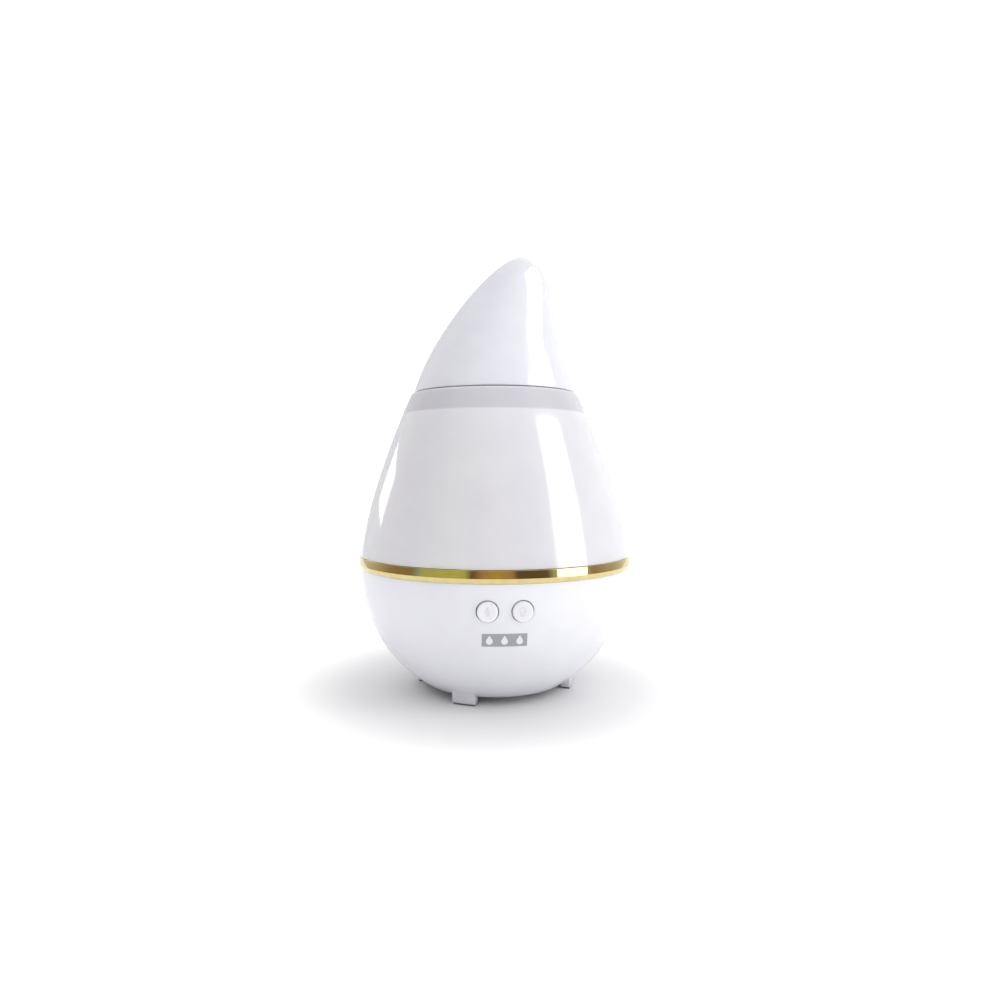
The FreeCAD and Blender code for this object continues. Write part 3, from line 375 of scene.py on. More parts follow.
# %% [markdown]
# ## Gold plating on plastic
#
# The trim ring is ABS with a bright gold-coloured electroplated skin. Plating is a real metal, so
# it is metallic 1 and has no colour of its own other than what it reflects. It copies the
# moulding beneath it: nearly mirror smooth, with faint waves and very fine polishing haze.


# %% Gold plating
PLATING_WAVE_MM, PLATING_DEPTH_MM = 14.0, 0.03
POLISHING_HAZE_MM = 3.0
MIRROR = (0.03, 0.06)


def gold_plating():
    """Bright plating that copies the slow waves of the moulding beneath it."""
    material, tree = new_material("gold_electroplating")
    place = add(tree, "ShaderNodeTexCoord").outputs["Object"]
    waves = add(
        tree,
        "ShaderNodeTexNoise",
        {"Vector": place, "Scale": 1 / (PLATING_WAVE_MM * MM), "Detail": 1.0},
    ).outputs["Fac"]
    haze = add(
        tree,
        "ShaderNodeTexNoise",
        {"Vector": place, "Scale": 1 / (POLISHING_HAZE_MM * MM), "Detail": 4.0},
    ).outputs["Fac"]
    skin = uneven_skin(
        tree, haze, ("#D1C28C", "#CAB980"), haze, MIRROR, waves, PLATING_DEPTH_MM
    )
    shader = add(tree, "ShaderNodeBsdfPrincipled", {**skin, "Metallic": 1.0})
    add(tree, "ShaderNodeOutputMaterial", {"Surface": shader.outputs[0]})
    return material


gold = gold_plating()

# %% [markdown]
# ## Softer plastics and rubbers
#
# The basin, hood, skirt and baffle are polypropylene, which moulds with a satin surface and looks
# a little waxy. The foot pads and gaskets are silicone rubber: dull, with a fine grain and a soft
# sheen at grazing angles. The fan, duct, jack and switches are black ABS or PBT from a
# spark-eroded mould, which leaves an even grain about 0.4 mm across. Here the grain drives the
# gloss and the relief together, because light is scattered most on its rough sides, and only the
# tone drifts more slowly.


# %% Satin, rubber and grained plastics
TONE_DRIFT_MM = 11.0
GRAIN_GLOSS = 0.06
WAX_REACH_MM = 1.5


def moulded(name, tones, gloss, grain_mm, depth_mm, ior=1.5, sheen=0.0, waxy=0.0):
    """A moulded plastic or rubber with an even grain and a slightly uneven tone."""
    material, tree = new_material(name)
    place = add(tree, "ShaderNodeTexCoord").outputs["Object"]
    grain = add(
        tree, "ShaderNodeTexNoise", {"Vector": place, "Scale": 1 / (grain_mm * MM), "Detail": 3.0}
    ).outputs["Fac"]
    tone = add(
        tree,
        "ShaderNodeTexNoise",
        {"Vector": place, "Scale": 1 / (TONE_DRIFT_MM * MM), "Detail": 2.0},
    ).outputs["Fac"]
    glosses = (gloss - GRAIN_GLOSS, gloss + GRAIN_GLOSS)
    skin = uneven_skin(tree, tone, tones, grain, glosses, grain, depth_mm)
    shader = add(
        tree,
        "ShaderNodeBsdfPrincipled",
        {
            **skin,
            "IOR": ior,
            "Sheen Weight": sheen,
            "Subsurface Weight": waxy,
            "Subsurface Scale": WAX_REACH_MM * MM,
        },
    )
    add(tree, "ShaderNodeOutputMaterial", {"Surface": shader.outputs[0]})
    return material


white_pp = moulded("satin_polypropylene", ("#E9E9EC", "#E3E3E7"), 0.38, 0.6, 0.01, 1.49, waxy=0.2)
pad_silicone = moulded(
    "pale_silicone_rubber", ("#77777B", "#707075"), 0.6, 0.4, 0.02, 1.41, sheen=0.15
)
grey_silicone = moulded(
    "grey_silicone_rubber", ("#8E8E91", "#858589"), 0.62, 0.4, 0.02, 1.41, sheen=0.15
)
black_abs = moulded("grained_black_abs", ("#1E1E20", "#262628"), 0.45, 0.4, 0.02)
black_epoxy = moulded("moulded_black_epoxy", ("#17171A", "#1F1F22"), 0.55, 0.25, 0.015)
white_nylon = moulded("natural_nylon", ("#E4E1D5", "#DAD6C8"), 0.42, 0.5, 0.01, 1.53, waxy=0.2)
can_sleeve = moulded("shrunk_pvc_sleeve", ("#16202E", "#1C2838"), 0.25, 2.0, 0.02)
lead_black = moulded("black_pvc_insulation", ("#1B1B1C", "#242425"), 0.4, 0.5, 0.01)
lead_red = moulded("red_pvc_insulation", ("#B3201B", "#A51C18"), 0.4, 0.5, 0.01)
lead_white = moulded("white_pvc_insulation", ("#DEDEDC", "#D3D3D1"), 0.4, 0.5, 0.01)
led_lens = moulded(
    "phosphor_under_silicone", ("#E9DD8C", "#E2D27A"), 0.2, 0.3, 0.01, 1.41, waxy=0.3
)

# %% [markdown]
# ## Metals
#
# Screws are zinc-plated steel, the jack's pin and the transducer's face are nickel plated, the
# bearing is sintered bronze, and the coils are enamelled copper. A metal's colour is its
# reflection, so these differ in tint and roughness, with a fine grain that is drawn out where
# they were turned or drawn. One grain drives tone, gloss and relief, because all three come from
# the same tool marks.


# %% Metals
METAL_GLOSS = 0.08


def metal(name, tones, gloss, grain_mm, depth_mm, stretch=1.0):
    """A metal with a fine grain. Stretch above 1 draws the grain out along Z."""
    material, tree = new_material(name)
    place = add(tree, "ShaderNodeTexCoord").outputs["Object"]
    drawn = add(tree, "ShaderNodeMapping", {"Vector": place, "Scale": (1.0, 1.0, 1.0 / stretch)})
    grain = add(
        tree,
        "ShaderNodeTexNoise",
        {"Vector": drawn.outputs[0], "Scale": 1 / (grain_mm * MM), "Detail": 3.0},
    ).outputs["Fac"]
    glosses = (gloss - METAL_GLOSS, gloss + METAL_GLOSS)
    skin = uneven_skin(tree, grain, tones, grain, glosses, grain, depth_mm)
    shader = add(tree, "ShaderNodeBsdfPrincipled", {**skin, "Metallic": 1.0})
    add(tree, "ShaderNodeOutputMaterial", {"Surface": shader.outputs[0]})
    return material


zinc_steel = metal("zinc_plated_steel", ("#B9BBBE", "#A9ABAF"), 0.3, 0.3, 0.004)
nickel = metal("nickel_plate", ("#CFCAC2", "#C2BDB4"), 0.22, 0.4, 0.003, 6.0)
bronze = metal("sintered_bronze", ("#B08A58", "#9C784A"), 0.5, 0.25, 0.01)
copper = metal("enamelled_copper_wire", ("#B4613A", "#9E5230"), 0.32, 0.2, 0.03, 0.2)
black_aluminium = metal(
    "black_anodised_aluminium", ("#2C2C2F", "#343438"), 0.4, 0.4, 0.005, 8.0
)
ferrite = metal("dull_ferrite", ("#4A4A4E", "#56565B"), 0.6, 0.3, 0.02)

# %% [markdown]
# ## Circuit boards
#
# A board is glass cloth under a coloured lacquer. The weave just shows through, and the copper
# tracks stand up about 0.035 mm under the lacquer and look paler. A brick pattern gives the
# weave, and the borders of square cells give tracks that turn at right angles.


# %% Circuit boards
WEAVE_MM, WEAVE_DEPTH_MM = 0.9, 0.01
TRACK_PITCH_MM, TRACK_HEIGHT_MM = 4.0, 0.035
TRACK_FROM, TRACK_TO = 0.42, 0.46


def circuit_board(name, lacquer, track):
    """Lacquer over glass cloth, with copper tracks that stand up slightly under it."""
    material, tree = new_material(name)
    place = add(tree, "ShaderNodeTexCoord").outputs["Object"]
    cloth = add(
        tree,
        "ShaderNodeTexBrick",
        {
            "Vector": place,
            "Scale": 1 / (WEAVE_MM * MM),
            "Mortar Size": 0.08,
            "Row Height": 0.5,
            "Brick Width": 0.5,
        },
    )
    squares = add(
        tree,
        "ShaderNodeTexVoronoi",
        {"Vector": place, "Scale": 1 / (TRACK_PITCH_MM * MM)},
        feature="F1",
        distance="MANHATTAN",
    )
    on_track = add(
        tree,
        "ShaderNodeMapRange",
        {"Value": squares.outputs["Distance"], "From Min": TRACK_FROM, "From Max": TRACK_TO},
    ).outputs[0]
    tint = add(
        tree,
        "ShaderNodeMix",
        {"Factor": on_track, "A": colour(lacquer), "B": colour(track)},
        data_type="RGBA",
    )
    weave = add(
        tree,
        "ShaderNodeBump",
        {"Height": cloth.outputs["Fac"], "Strength": 1.0, "Distance": WEAVE_DEPTH_MM * MM},
    )
    raised = add(
        tree,
        "ShaderNodeBump",
        {
            "Height": on_track,
            "Strength": 1.0,
            "Distance": TRACK_HEIGHT_MM * MM,
            "Normal": weave.outputs[0],
        },
    )
    shader = add(
        tree,
        "ShaderNodeBsdfPrincipled",
        {
            "Base Color": tint.outputs["Result"],
            "Normal": raised.outputs[0],
            "Roughness": 0.3,
            "IOR": 1.55,
        },
    )
    add(tree, "ShaderNodeOutputMaterial", {"Surface": shader.outputs[0]})
    return material


green_board = circuit_board("green_lacquer_board", "#0F5B2E", "#17713B")
white_board = circuit_board("white_lacquer_board", "#E4E4E0", "#EDEDEA")

# %% [markdown]
# ## Give every CAD node its finish
#
# The record names a material slot for each node. One table turns slots into the finishes above,
# and a loop assigns them, so no node is left with a plain colour.

# %% Assign finishes by slot
FINISHES = {
    "white_abs": white_abs,
    "milky_dome": dome_plastic,
    "gold_plating": gold,
    "white_pp": white_pp,
    "pad_silicone": pad_silicone,
    "grey_silicone": grey_silicone,
    "black_abs": black_abs,
    "black_epoxy": black_epoxy,
    "steel": zinc_steel,
    "nickel_disc": nickel,
    "bronze": bronze,
    "copper_winding": copper,
    "green_board": green_board,
    "white_board": white_board,
    "can_sleeve": can_sleeve,
    "ferrite": ferrite,
    "black_aluminium": black_aluminium,
    "white_nylon": white_nylon,
    "led_lens": led_lens,
    "lead_black": lead_black,
    "lead_red": lead_red,
    "lead_white": lead_white,
}
OWN_FINISH = {
    "base_shell": bowl_abs,
    "bottom_cover": cover_abs_painted_shade,
    "mist_button": key_abs,
    "light_button": key_abs,
}
slot_of = {s["node"]: s["material_slot"] for s in frame["record"]["subparts"]}
for name, node in nodes.items():
    finish = OWN_FINISH.get(name, FINISHES[slot_of[name]])
    node.data.materials.clear()
    node.data.materials.append(finish)
finishes_used = {*FINISHES.values(), *OWN_FINISH.values()}
print(f"{len(slot_of)} nodes finished in {len(finishes_used)} materials")

# %% [markdown]
# ## Turned skins
#
# The dome and the trim ring are solids of revolution. A lathe is the plainest way to make them: a
# list of corners in the (radius, height) plane, some of them rounded, carried round the axis. The
# mesh is finer than the CAD's, because a glossy skin shows every facet in its reflections.


# %% Lathe helpers
ARC_STEP_DEG = 7.5
SHARP_DEG = 35.0


def rounded_outline(corners):
    """Points of a closed outline whose corners are (radius, height, fillet), in millimetres."""
    outline = []
    count = len(corners)
    for i, (x, z, fillet) in enumerate(corners):
        here = Vector((x, z))
        if fillet <= 0:
            outline.append(here)
            continue
        before = Vector(corners[i - 1][:2]) - here
        after = Vector(corners[(i + 1) % count][:2]) - here
        before.normalize()
        after.normalize()
        half = before.angle(after) / 2
        centre = here + (before + after).normalized() * (fillet / math.sin(half))
        start = here + before * (fillet / math.tan(half)) - centre
        end = here + after * (fillet / math.tan(half)) - centre
        turn = start.angle_signed(end)
        steps = max(2, math.ceil(abs(math.degrees(turn)) / ARC_STEP_DEG))
        for k in range(steps + 1):
            a = -turn * k / steps
            c, s = math.cos(a), math.sin(a)
            outline.append(centre + Vector((c * start.x - s * start.y, s * start.x + c * start.y)))
    return outline


def lathe(name, outline, segments):
    """A closed mesh turned about Z from an outline in millimetres."""
    rings = []
    mesh = bmesh.new()
    for k in range(segments):
        a = 2 * math.pi * k / segments
        rings.append(
            [
                mesh.verts.new((p.x * MM * math.cos(a), p.x * MM * math.sin(a), p.y * MM))
                for p in outline
            ]
        )
    count = len(outline)
    for k in range(segments):
        here, after = rings[k], rings[(k + 1) % segments]
        for i in range(count):
            j = (i + 1) % count
            mesh.faces.new((here[i], after[i], after[j], here[j]))
    bmesh.ops.recalc_face_normals(mesh, faces=mesh.faces)
    return to_object(mesh, name)


def to_object(mesh, name):
    """Turns a bmesh into an object that is smooth but for its sharp edges."""
    data = bpy.data.meshes.new(name)
    mesh.to_mesh(data)
    mesh.free()
    for face in data.polygons:
        face.use_smooth = True
    data.set_sharp_from_angle(angle=math.radians(SHARP_DEG))
    piece = bpy.data.objects.new(name, data)
    bpy.context.scene.collection.objects.link(piece)
    return piece


def place_skin(piece, body, material, slot, *replaced):
    """Gives a new piece its finish, hangs it on a body and hides the CAD nodes it replaces."""
    piece.data.materials.append(material)
    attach(piece, body)
    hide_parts(*replaced)
    print(f"{piece.name}: {len(piece.data.polygons)} faces")


# %% [markdown]
# ## The trim ring
#
# The ring is 4.6 mm tall. Its upper two thirds are one slightly crowned face and its lower third
# is a bevel that tucks in under it, and every edge is softened by the plating. The crown matters:
# it tips the upper face up by a few degrees, so it mirrors the room and not the table.

# %% Build the trim ring
ring_r = ring_high.x / MM
ring_z0, ring_z1 = ring_low.z / MM, ring_high.z / MM
RING_WALL = 1.15
BEVEL_IN, BEVEL_RISE = 0.68, 1.75
CROWN_IN, CROWN_RISE, CROWN_R = 0.27, 3.1, 3.0
TOP_IN = 0.58
LOWER_EDGE_R, PLATED_EDGE_R = 0.12, 0.25
RING_SEGMENTS = 360
ring_inner = ring_r - RING_WALL
ring_corners = [
    (ring_inner, ring_z0, 0),
    (ring_r - BEVEL_IN, ring_z0, LOWER_EDGE_R),
    (ring_r, ring_z0 + BEVEL_RISE, PLATED_EDGE_R),
    (ring_r - CROWN_IN, ring_z0 + CROWN_RISE, CROWN_R),
    (ring_r - TOP_IN, ring_z1, PLATED_EDGE_R),
    (ring_inner, ring_z1, 0),
]
trim = lathe("trim_ring_skin", rounded_outline(ring_corners), RING_SEGMENTS)
place_skin(trim, "base", gold, "gold_plating", "trim_ring")

# %% [markdown]
# ## The dome
#
# The dome's side is one shallow arc from the ring to the mouth. The arc is worked out from the
# same chord and sagitta as the CAD's, the wall is 2 mm thick, and the top edge has a 1.2 mm
# radius that catches a thin line of light above the band of painted shade.

# %% Build the dome
SAGITTA = 1.7
DOME_WALL = 2.0
MOUTH_R = 34.0
RING_GAP, FOOT_IN = 0.3, 0.25
TOP_EDGE_R, TOP_EDGE_RUN = 1.2, 1.7
MOUTH_EDGE_R, LIP_DEPTH = 0.15, 2.5
TONGUE_IN = 1.5
OUTER_STEPS, INNER_STEPS = 60, 50
DOME_SEGMENTS = 320
foot_r, foot_z = ring_r - FOOT_IN, ring_z1 + RING_GAP
shoulder_z, tongue_z = dome_high.z / MM, dome_low.z / MM
chord = math.hypot(foot_r - MOUTH_R, shoulder_z - foot_z)
arc_r = (chord / 2) ** 2 / (2 * SAGITTA) + SAGITTA / 2
along = Vector((MOUTH_R - foot_r, shoulder_z - foot_z)) / chord
middle = Vector(((MOUTH_R + foot_r) / 2, (shoulder_z + foot_z) / 2))
arc_centre = middle + Vector((-along.y, along.x)) * (arc_r - SAGITTA)
print(f"dome side {arc_r:.0f} mm arc radius, mouth {MOUTH_R:.0f} mm radius")


def dome_radius(z, inset=0.0):
    """Radius of the dome's outer arc, or of one inset from it, at a height in millimetres."""
    return arc_centre.x + math.sqrt((arc_r - inset) ** 2 - (z - arc_centre.y) ** 2)


def dome_side(start_z, end_z, steps, inset=0.0):
    """Points of one side of the dome's wall between two heights."""
    heights = [start_z + (end_z - start_z) * k / steps for k in range(steps + 1)]
    return [Vector((dome_radius(z, inset), z)) for z in heights]


lip_z = shoulder_z - LIP_DEPTH
mouth_inner = collar_high.x / MM
tongue_r = ring_r - TONGUE_IN
outer_side = dome_side(foot_z, shoulder_z - TOP_EDGE_RUN, OUTER_STEPS)
top_corners = [
    (*outer_side[-1], 0),
    (dome_radius(shoulder_z), shoulder_z, TOP_EDGE_R),
    (mouth_inner, shoulder_z, MOUTH_EDGE_R),
    (mouth_inner, lip_z, 0),
]
dome_outline = [
    *outer_side,
    *rounded_outline(top_corners)[1:],
    *dome_side(lip_z, tongue_z, INNER_STEPS, DOME_WALL),
    Vector((tongue_r, tongue_z)),
    Vector((tongue_r, foot_z)),
]
dome_skin = lathe("dome_skin", dome_outline, DOME_SEGMENTS)
place_skin(dome_skin, "dome", dome_plastic, "milky_dome", "dome")

# %% [markdown]
# ## The nozzle
#
# The nozzle is a horn: wide and round where it sits in the dome, and tipped over towards one side
# at its top. It is made from circles. Each circle's diameter joins a point on the long back edge
# to the point at the same share of the length on the hollow front edge. Both edges are Bezier
# curves. A grid of such circles, with a second one inside it, makes an even shell that reflects
# smoothly.


# %% Nozzle curves
CURVE_STEPS = 400
RISE, LEAN = 56.5, 10.5
BACK_LEAN = 0.09
BACK_POLES = [(-1, 0), (-0.79, 0.44)]
FRONT_POLES = [(1, 0), (0.72, 0.40), (0.73, 0.54), (0.80, 1)]


def bezier(poles, t):
    """The point at t on the Bezier curve with these poles."""
    while len(poles) > 1:
        poles = [a.lerp(b, t) for a, b in zip(poles, poles[1:])]
    return poles[0]


def measured_curve(poles):
    """The curve's points and their running length."""
    points = [bezier(poles, i / CURVE_STEPS) for i in range(CURVE_STEPS + 1)]
    lengths = [0.0]
    for a, b in zip(points, points[1:]):
        lengths.append(lengths[-1] + (b - a).length)
    return points, lengths


def point_at(curve, share):
    """The point and the direction at a share of the curve's length."""
    points, lengths = curve
    wanted = share * lengths[-1]
    i = next((n for n in range(1, len(lengths)) if lengths[n] >= wanted - 1e-9), len(lengths) - 1)
    step = lengths[i] - lengths[i - 1]
    spot = points[i - 1].lerp(points[i], (wanted - lengths[i - 1]) / step)
    return spot, (points[i] - points[i - 1]).normalized()


base_r = nozzle_high.x / MM
base_z = nozzle_low.z / MM


def pole(radii, heights):
    """A pole of an edge, in shares of the nozzle's foot radius and of its rise."""
    return Vector((radii * base_r, base_z + heights * RISE))


tip = Vector((LEAN, base_z + RISE))
back_crest = Vector((LEAN * BACK_LEAN, base_z + RISE))
back_edge = measured_curve([*(pole(*share) for share in BACK_POLES), back_crest, tip])
front_edge = measured_curve([*(pole(*share) for share in FRONT_POLES), tip])
print(f"nozzle edges {back_edge[1][-1]:.1f} and {front_edge[1][-1]:.1f} mm long")

# %% [markdown]
# The grid runs from the inside of the tip, down the inner skin, round the foot and up the outer
# skin, so it closes on itself. The foot is rebated to sit over the skirt that turns in the dome's
# collar, and its outer corner is rolled in by about 1 mm. The circles crowd towards the tip,
# where the horn bends most.


# %% Nozzle grid
NOZZLE_SEGMENTS = 160
NOZZLE_WALL = 2.0
ROLL_IN = 0.96
ROLL_MID_IN, ROLL_MID_RISE = 0.36, 0.096
SKIRT_GAP = 0.05
TIP_CROWDING = 1.35
OUTER_CIRCLES, INNER_CIRCLES = 90, 60
FOOT_SHARES = [0.006, 0.014]
INNER_FROM, INNER_TO = 0.03, 0.965


def horn_ring(share, inset=0.0):
    """Points of the circle at a share of the length, in millimetres, inset from the skin."""
    (a, da), (b, db) = point_at(back_edge, share), point_at(front_edge, share)
    a = a + Vector((da.y, -da.x)) * inset
    b = b + Vector((-db.y, db.x)) * inset
    centre, half = (a + b) / 2, (b - a) / 2
    ring = []
    for k in range(NOZZLE_SEGMENTS):
        t = 2 * math.pi * k / NOZZLE_SEGMENTS
        ring.append(
            Vector(
                (
                    centre.x + half.x * math.cos(t),
                    half.length * math.sin(t),
                    centre.y + half.y * math.cos(t),
                )
            )
        )
    return ring


def horn_shares(count):
    """Shares of the length, closer together near the tip."""
    return [1 - (1 - k / count) ** TIP_CROWDING for k in range(count)]


outer_shares = [*FOOT_SHARES, *horn_shares(OUTER_CIRCLES)[2:]]
inner_shares = [s for s in horn_shares(INNER_CIRCLES)[::-1] if INNER_FROM < s < INNER_TO]
outer_rings = [horn_ring(s) for s in outer_shares]
inner_rings = [horn_ring(s, NOZZLE_WALL) for s in inner_shares]


def flat_ring(radius, z):
    """A level circle of points round the nozzle's foot, in millimetres."""
    return [
        Vector(
            (
                radius * math.cos(2 * math.pi * k / NOZZLE_SEGMENTS),
                radius * math.sin(2 * math.pi * k / NOZZLE_SEGMENTS),
                z,
            )
        )
        for k in range(NOZZLE_SEGMENTS)
    ]


skirt_r = skirt_high.x / MM + SKIRT_GAP
seat_z = skirt_high.z / MM + SKIRT_GAP
foot_rings = [
    flat_ring(skirt_r, seat_z),
    flat_ring(skirt_r, base_z),
    flat_ring(base_r - ROLL_IN, base_z),
    flat_ring(base_r - ROLL_MID_IN, base_z + ROLL_MID_RISE),
]
mesh = bmesh.new()
all_rings = [*inner_rings, *foot_rings, *outer_rings]
grid = [[mesh.verts.new(p * MM) for p in ring] for ring in all_rings]
for low, high in zip(grid, grid[1:]):
    for k in range(NOZZLE_SEGMENTS):
        j = (k + 1) % NOZZLE_SEGMENTS
        mesh.faces.new((low[k], low[j], high[j], high[k]))
inner_tip = mesh.verts.new(sum(inner_rings[0], Vector()) / NOZZLE_SEGMENTS * MM)
outer_tip = mesh.verts.new(Vector((tip.x, 0, tip.y)) * MM)
for k in range(NOZZLE_SEGMENTS):
    j = (k + 1) % NOZZLE_SEGMENTS
    mesh.faces.new((grid[0][j], grid[0][k], inner_tip))
    mesh.faces.new((grid[-1][k], grid[-1][j], outer_tip))
bmesh.ops.recalc_face_normals(mesh, faces=mesh.faces)
nozzle_skin = to_object(mesh, "nozzle_skin")

# %% [markdown]
# The mist leaves by an oval mouth high on the tip, where the horn leans over. A cutter in the
# shape of that oval is taken out of the shell with an exact boolean, and its edge is softened by
# the finish's bevel.

# %% Cut the mist outlet
OUTLET_W, OUTLET_H = 13.0, 9.5
OUTLET_SHARE, OUTLET_TILT_DEG = 0.885, 45
OUTLET_OUT, CUT_HALF_DEPTH = 3.5, 8.0
OUTLET_SEGMENTS = 96
outlet_spot, _ = point_at(front_edge, OUTLET_SHARE)
cutter_mesh = bmesh.new()
bmesh.ops.create_cone(
    cutter_mesh, cap_ends=True, segments=OUTLET_SEGMENTS, radius1=1.0, radius2=1.0, depth=2.0
)
cutter = to_object(cutter_mesh, "outlet_cutter")
cutter.matrix_world = (
    Matrix.Translation(
        Vector((outlet_spot.x + OUTLET_OUT, 0, outlet_spot.y + OUTLET_OUT)) * MM
    )
    @ Matrix.Rotation(math.radians(OUTLET_TILT_DEG), 4, "Y")
    @ Matrix.Diagonal((OUTLET_H / 2 * MM, OUTLET_W / 2 * MM, CUT_HALF_DEPTH * MM, 1.0))
)
cut = nozzle_skin.modifiers.new("outlet", "BOOLEAN")
cut.operation = "DIFFERENCE"
cut.solver = "EXACT"
cut.object = cutter
bpy.context.view_layer.update()
carved = bpy.data.meshes.new_from_object(
    nozzle_skin.evaluated_get(bpy.context.evaluated_depsgraph_get())
)
nozzle_skin.modifiers.clear()
nozzle_skin.data = carved
carved.set_sharp_from_angle(angle=math.radians(SHARP_DEG))
bpy.data.objects.remove(cutter)
place_skin(nozzle_skin, "nozzle", white_abs, "white_abs", "nozzle_shell")

# %% [markdown]
# ## The camera
#
# The camera stands low and close, a little to the left of the keys, so the bowl shows its
# underside and the dome its full width. It looks level, and the lens is shifted down a little to
# centre the object: tilting it instead would make the upright edges lean.

# %% Camera
CAMERA_OFF_AXIS_DEG = 3.9
CAMERA_DISTANCE = 0.289
CAMERA_HEIGHT = 0.0868
SENSOR_MM, LENS_MM = 36.0, 25.2
SHIFT_ACROSS, SHIFT_UP = 0.0055, -0.0285
away = math.radians(CAMERA_OFF_AXIS_DEG)
to_camera = Vector((-math.sin(away), -math.cos(away), 0))
to_right = Vector((math.cos(away), -math.sin(away), 0))
camera_data = bpy.data.cameras.new("camera")
camera = bpy.data.objects.new("camera", camera_data)
bpy.context.scene.collection.objects.link(camera)
camera_data.sensor_width, camera_data.lens = SENSOR_MM, LENS_MM
camera_data.shift_x, camera_data.shift_y = SHIFT_ACROSS, SHIFT_UP
camera_data.clip_start = 0.01
camera.location = to_camera * CAMERA_DISTANCE + Vector((0, 0, CAMERA_HEIGHT))
camera.rotation_euler = (-to_camera).to_track_quat("-Z", "Y").to_euler()
bpy.context.scene.camera = camera
print(f"camera {CAMERA_DISTANCE / MM:.0f} mm away and {CAMERA_HEIGHT / MM:.0f} mm up")

# %% [markdown]
# ## The soft boxes
#
# A tall soft box stands at the right and draws the long white bar down the dome and the bowl. A
# small window far back at the left draws the short one. The nozzle leans over and looks at other
# parts of the room, so its own bar needs two boxes of its own. Light linking keeps them off
# everything else, as a flag on a stand would in a real studio, and they only show as reflections.
# Directions are counted in degrees from the camera towards its right, and up from the table.


# %% Soft boxes
AIM = Vector((0, 0, 0.08))
BOX_DISTANCE = 0.9


def from_camera(turn_deg, up_deg):
    """A direction, from its turn to the camera's right and its height over the table."""
    turn, up = math.radians(turn_deg), math.radians(up_deg)
    flat = to_camera * math.cos(turn) + to_right * math.sin(turn)
    return flat * math.cos(up) + Vector((0, 0, math.sin(up)))


def soft_box(name, turn_deg, up_deg, spread_deg, brightness, roll_deg=0.0, in_diffuse=True):
    """A rectangular light aimed at the object's middle. Spread is its width and height as seen from
    there, brightness is how white it looks, and a roll below 0 tips its top edge down on the side
    that is further from the camera."""
    width, height = (2 * BOX_DISTANCE * math.tan(math.radians(s / 2)) for s in spread_deg)
    data = bpy.data.lights.new(name, "AREA")
    data.shape = "RECTANGLE"
    data.size, data.size_y = width, height
    data.energy = brightness * math.pi * width * height
    lamp = bpy.data.objects.new(name, data)
    bpy.context.scene.collection.objects.link(lamp)
    lamp.location = from_camera(turn_deg, up_deg) * BOX_DISTANCE + AIM
    aim = (AIM - lamp.location).to_track_quat("-Z", "Y").to_matrix()
    lamp.rotation_euler = (aim @ Matrix.Rotation(math.radians(roll_deg), 3, "Z")).to_euler()
    lamp.visible_camera = False
    lamp.visible_diffuse = in_diffuse
    return lamp


soft_box("soft_box_right", 67, 21, (28, 38), 3.3, -14)
soft_box("window_back_left", -124, 12, (18, 9), 2.4)
only_nozzle = bpy.data.collections.new("lit_by_nozzle_boxes")
only_nozzle.objects.link(nozzle_skin)
nozzle_boxes = [
    soft_box("nozzle_box_low", 75, 27, (36, 30), 5.0, -13, in_diffuse=False),
    soft_box("nozzle_box_high", 94, 53, (38, 26), 6.0, -27, in_diffuse=False),
]
for lamp in nozzle_boxes:
    lamp.light_linking.receiver_collection = only_nozzle
print(f"{len(bpy.data.lights)} lights, {len(nozzle_boxes)} of them only for the nozzle")

# %% [markdown]
# ## The tent
#
# The tent itself is the world. Low down its brightness follows the turn from the camera: near
# white behind the object, middling at the sides, and darkest a little to the right of the camera,
# where the tent is open. Its stops are that wall's panels and gaps, in order round the room, and
# the gold ring mirrors them as its dark and pale stretches. Their colours are seen only in
# reflections; the light that falls on white plastic is evened to grey, or the whites would turn
# warm. Higher up the tent brightens evenly towards the roof, which lights the table. What the
# camera sees directly is plain white.

# %% World
TENT_WALL = [
    (-180, "#FAFAFA"),
    (-158, "#D2D2D2"),
    (-135, "#D8D6D4"),
    (-114, "#C9BFB2"),
    (-92, "#A08A78"),
    (-70, "#96826F"),
    (-64, "#9FB4B4"),
    (-58, "#BCC18C"),
    (-30, "#C8CC80"),
    (-23, "#BABB7C"),
    (-18, "#6E5A4C"),
    (-10, "#B58C70"),
    (2, "#C0A858"),
    (14, "#B98F73"),
    (19, "#6A594B"),
    (43, "#705E50"),
    (50, "#BFC0B4"),
    (80, "#BFC0B4"),
    (86, "#A8917F"),
    (112, "#C2BBAF"),
    (135, "#EEEDEC"),
    (180, "#FAFAFA"),
]
ROOF = 1.25
ROOF_STARTS_DEG, ROOF_FULL_DEG = 25, 75
MIRRORED_STRENGTH, SEEN_STRENGTH = 1.1, 1.2
world = bpy.data.worlds.new("white_tent")
world.use_nodes = True
bpy.context.scene.world = world
tree = world.node_tree
tree.nodes.clear()
direction = add(tree, "ShaderNodeTexCoord").outputs["Generated"]
turned = add(
    tree,
    "ShaderNodeMapping",
    {"Vector": direction, "Rotation": (0, 0, math.radians(90 + CAMERA_OFF_AXIS_DEG))},
)
turn = add(tree, "ShaderNodeTexGradient", {"Vector": turned.outputs[0]}, gradient_type="RADIAL")
wall = add(tree, "ShaderNodeValToRGB", {"Fac": turn.outputs["Fac"]})
stops = wall.color_ramp.elements
while len(stops) > 1:
    stops.remove(stops[0])
for k, (degrees, hue) in enumerate(TENT_WALL):
    spot = (degrees + 180) / 360
    stop = stops[0] if k == 0 else stops.new(spot)
    stop.position = spot
    stop.color = colour(hue)
up = add(tree, "ShaderNodeSeparateXYZ", {"Vector": direction})
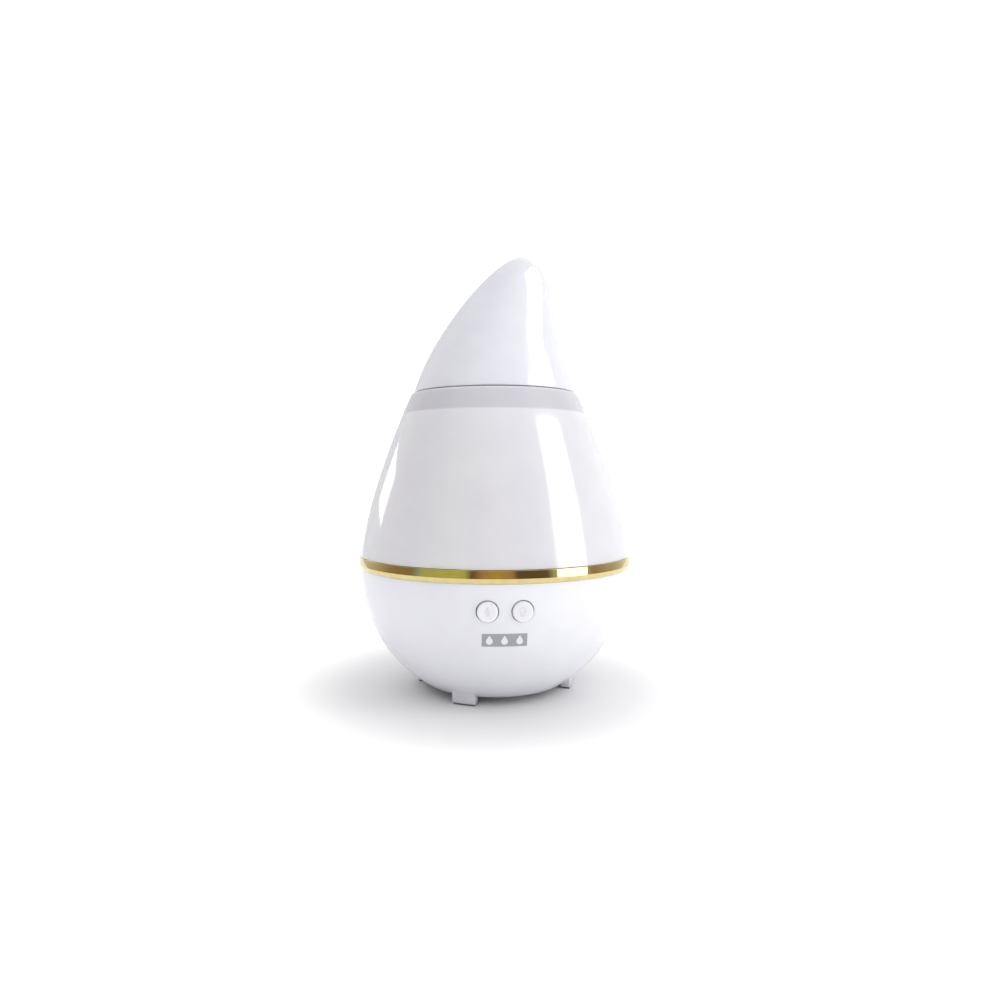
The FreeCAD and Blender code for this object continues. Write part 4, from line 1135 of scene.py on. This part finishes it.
climb = add(
    tree,
    "ShaderNodeMapRange",
    {
        "Value": up.outputs["Z"],
        "From Min": math.sin(math.radians(ROOF_STARTS_DEG)),
        "From Max": math.sin(math.radians(ROOF_FULL_DEG)),
    },
    interpolation_type="SMOOTHSTEP",
)
tent = add(
    tree,
    "ShaderNodeMix",
    {"Factor": climb.outputs[0], "A": wall.outputs["Color"], "B": (ROOF, ROOF, ROOF, 1.0)},
    data_type="RGBA",
).outputs["Result"]
evened = add(tree, "ShaderNodeHueSaturation", {"Color": tent, "Saturation": 0.0})
evened_light = add(tree, "ShaderNodeBackground", {"Color": evened.outputs[0], "Strength": 1.0})
mirrored_light = add(
    tree, "ShaderNodeBackground", {"Color": tent, "Strength": MIRRORED_STRENGTH}
)
seen_white = add(
    tree, "ShaderNodeBackground", {"Color": (1, 1, 1, 1), "Strength": SEEN_STRENGTH}
)
ray = add(tree, "ShaderNodeLightPath")
tent_light = add(
    tree,
    "ShaderNodeMixShader",
    {0: ray.outputs["Is Glossy Ray"], 1: evened_light.outputs[0], 2: mirrored_light.outputs[0]},
)
mixed = add(
    tree,
    "ShaderNodeMixShader",
    {0: ray.outputs["Is Camera Ray"], 1: tent_light.outputs[0], 2: seen_white.outputs[0]},
)
add(tree, "ShaderNodeOutputWorld", {"Surface": mixed.outputs[0]})
print(f"tent wall with {len(TENT_WALL)} stops")

# %% [markdown]
# ## The table
#
# The table is a sheet of matt white card, large enough that its far edge meets the white of the
# tent. Under the bowl it shows a soft shadow. Further out it has a painted glow, an emission that
# rises from 50 to 110 mm out from the middle and burns the rest of it out to the same white as
# the tent, so the darker disc round the bowl is partly painted shade. The view transform is
# Standard, so that white stays white and the finishes' colours come out as they were picked.


# %% Table
CARD_GREY = (0.88, 0.88, 0.885, 1.0)
PAINTED_GLOW = 0.42
PAINTED_GLOW_STARTS, PAINTED_GLOW_FULL = 0.05, 0.11
FIBRE_MM, FIBRE_DEPTH_MM = 1.2, 0.02
TABLE_R, TABLE_SEGMENTS = 6.0, 96


def card():
    """Matt white card with a painted glow beyond the bowl's shadow."""
    material, tree = new_material("matt_white_card_painted_glow")
    place = add(tree, "ShaderNodeTexCoord").outputs["Object"]
    fibres = add(
        tree,
        "ShaderNodeTexNoise",
        {"Vector": place, "Scale": 1 / (FIBRE_MM * MM), "Detail": 3.0},
    )
    bump = add(
        tree,
        "ShaderNodeBump",
        {"Height": fibres.outputs["Fac"], "Strength": 1.0, "Distance": FIBRE_DEPTH_MM * MM},
    )
    # Painted glow: an emission that is zero within 50 mm of the middle and rises smoothly to its
    # full strength at 110 mm.
    reach = add(tree, "ShaderNodeVectorMath", {0: place}, operation="LENGTH")
    painted_glow = add(
        tree,
        "ShaderNodeMapRange",
        {
            "Value": reach.outputs["Value"],
            "From Min": PAINTED_GLOW_STARTS,
            "From Max": PAINTED_GLOW_FULL,
            "To Max": PAINTED_GLOW,
        },
        interpolation_type="SMOOTHSTEP",
    )
    shader = add(
        tree,
        "ShaderNodeBsdfPrincipled",
        {
            "Base Color": CARD_GREY,
            "Roughness": 0.9,
            "Specular IOR Level": 0.1,
            "Normal": bump.outputs[0],
            "Emission Color": (1, 1, 1, 1),
            "Emission Strength": painted_glow.outputs[0],
        },
    )
    add(tree, "ShaderNodeOutputMaterial", {"Surface": shader.outputs[0]})
    return material


table_mesh = bmesh.new()
bmesh.ops.create_circle(table_mesh, cap_ends=True, segments=TABLE_SEGMENTS, radius=TABLE_R)
table = to_object(table_mesh, "table")
table.data.materials.append(card())
bpy.context.scene.view_settings.view_transform = "Standard"
print(f"table {2 * TABLE_R:.0f} m across")
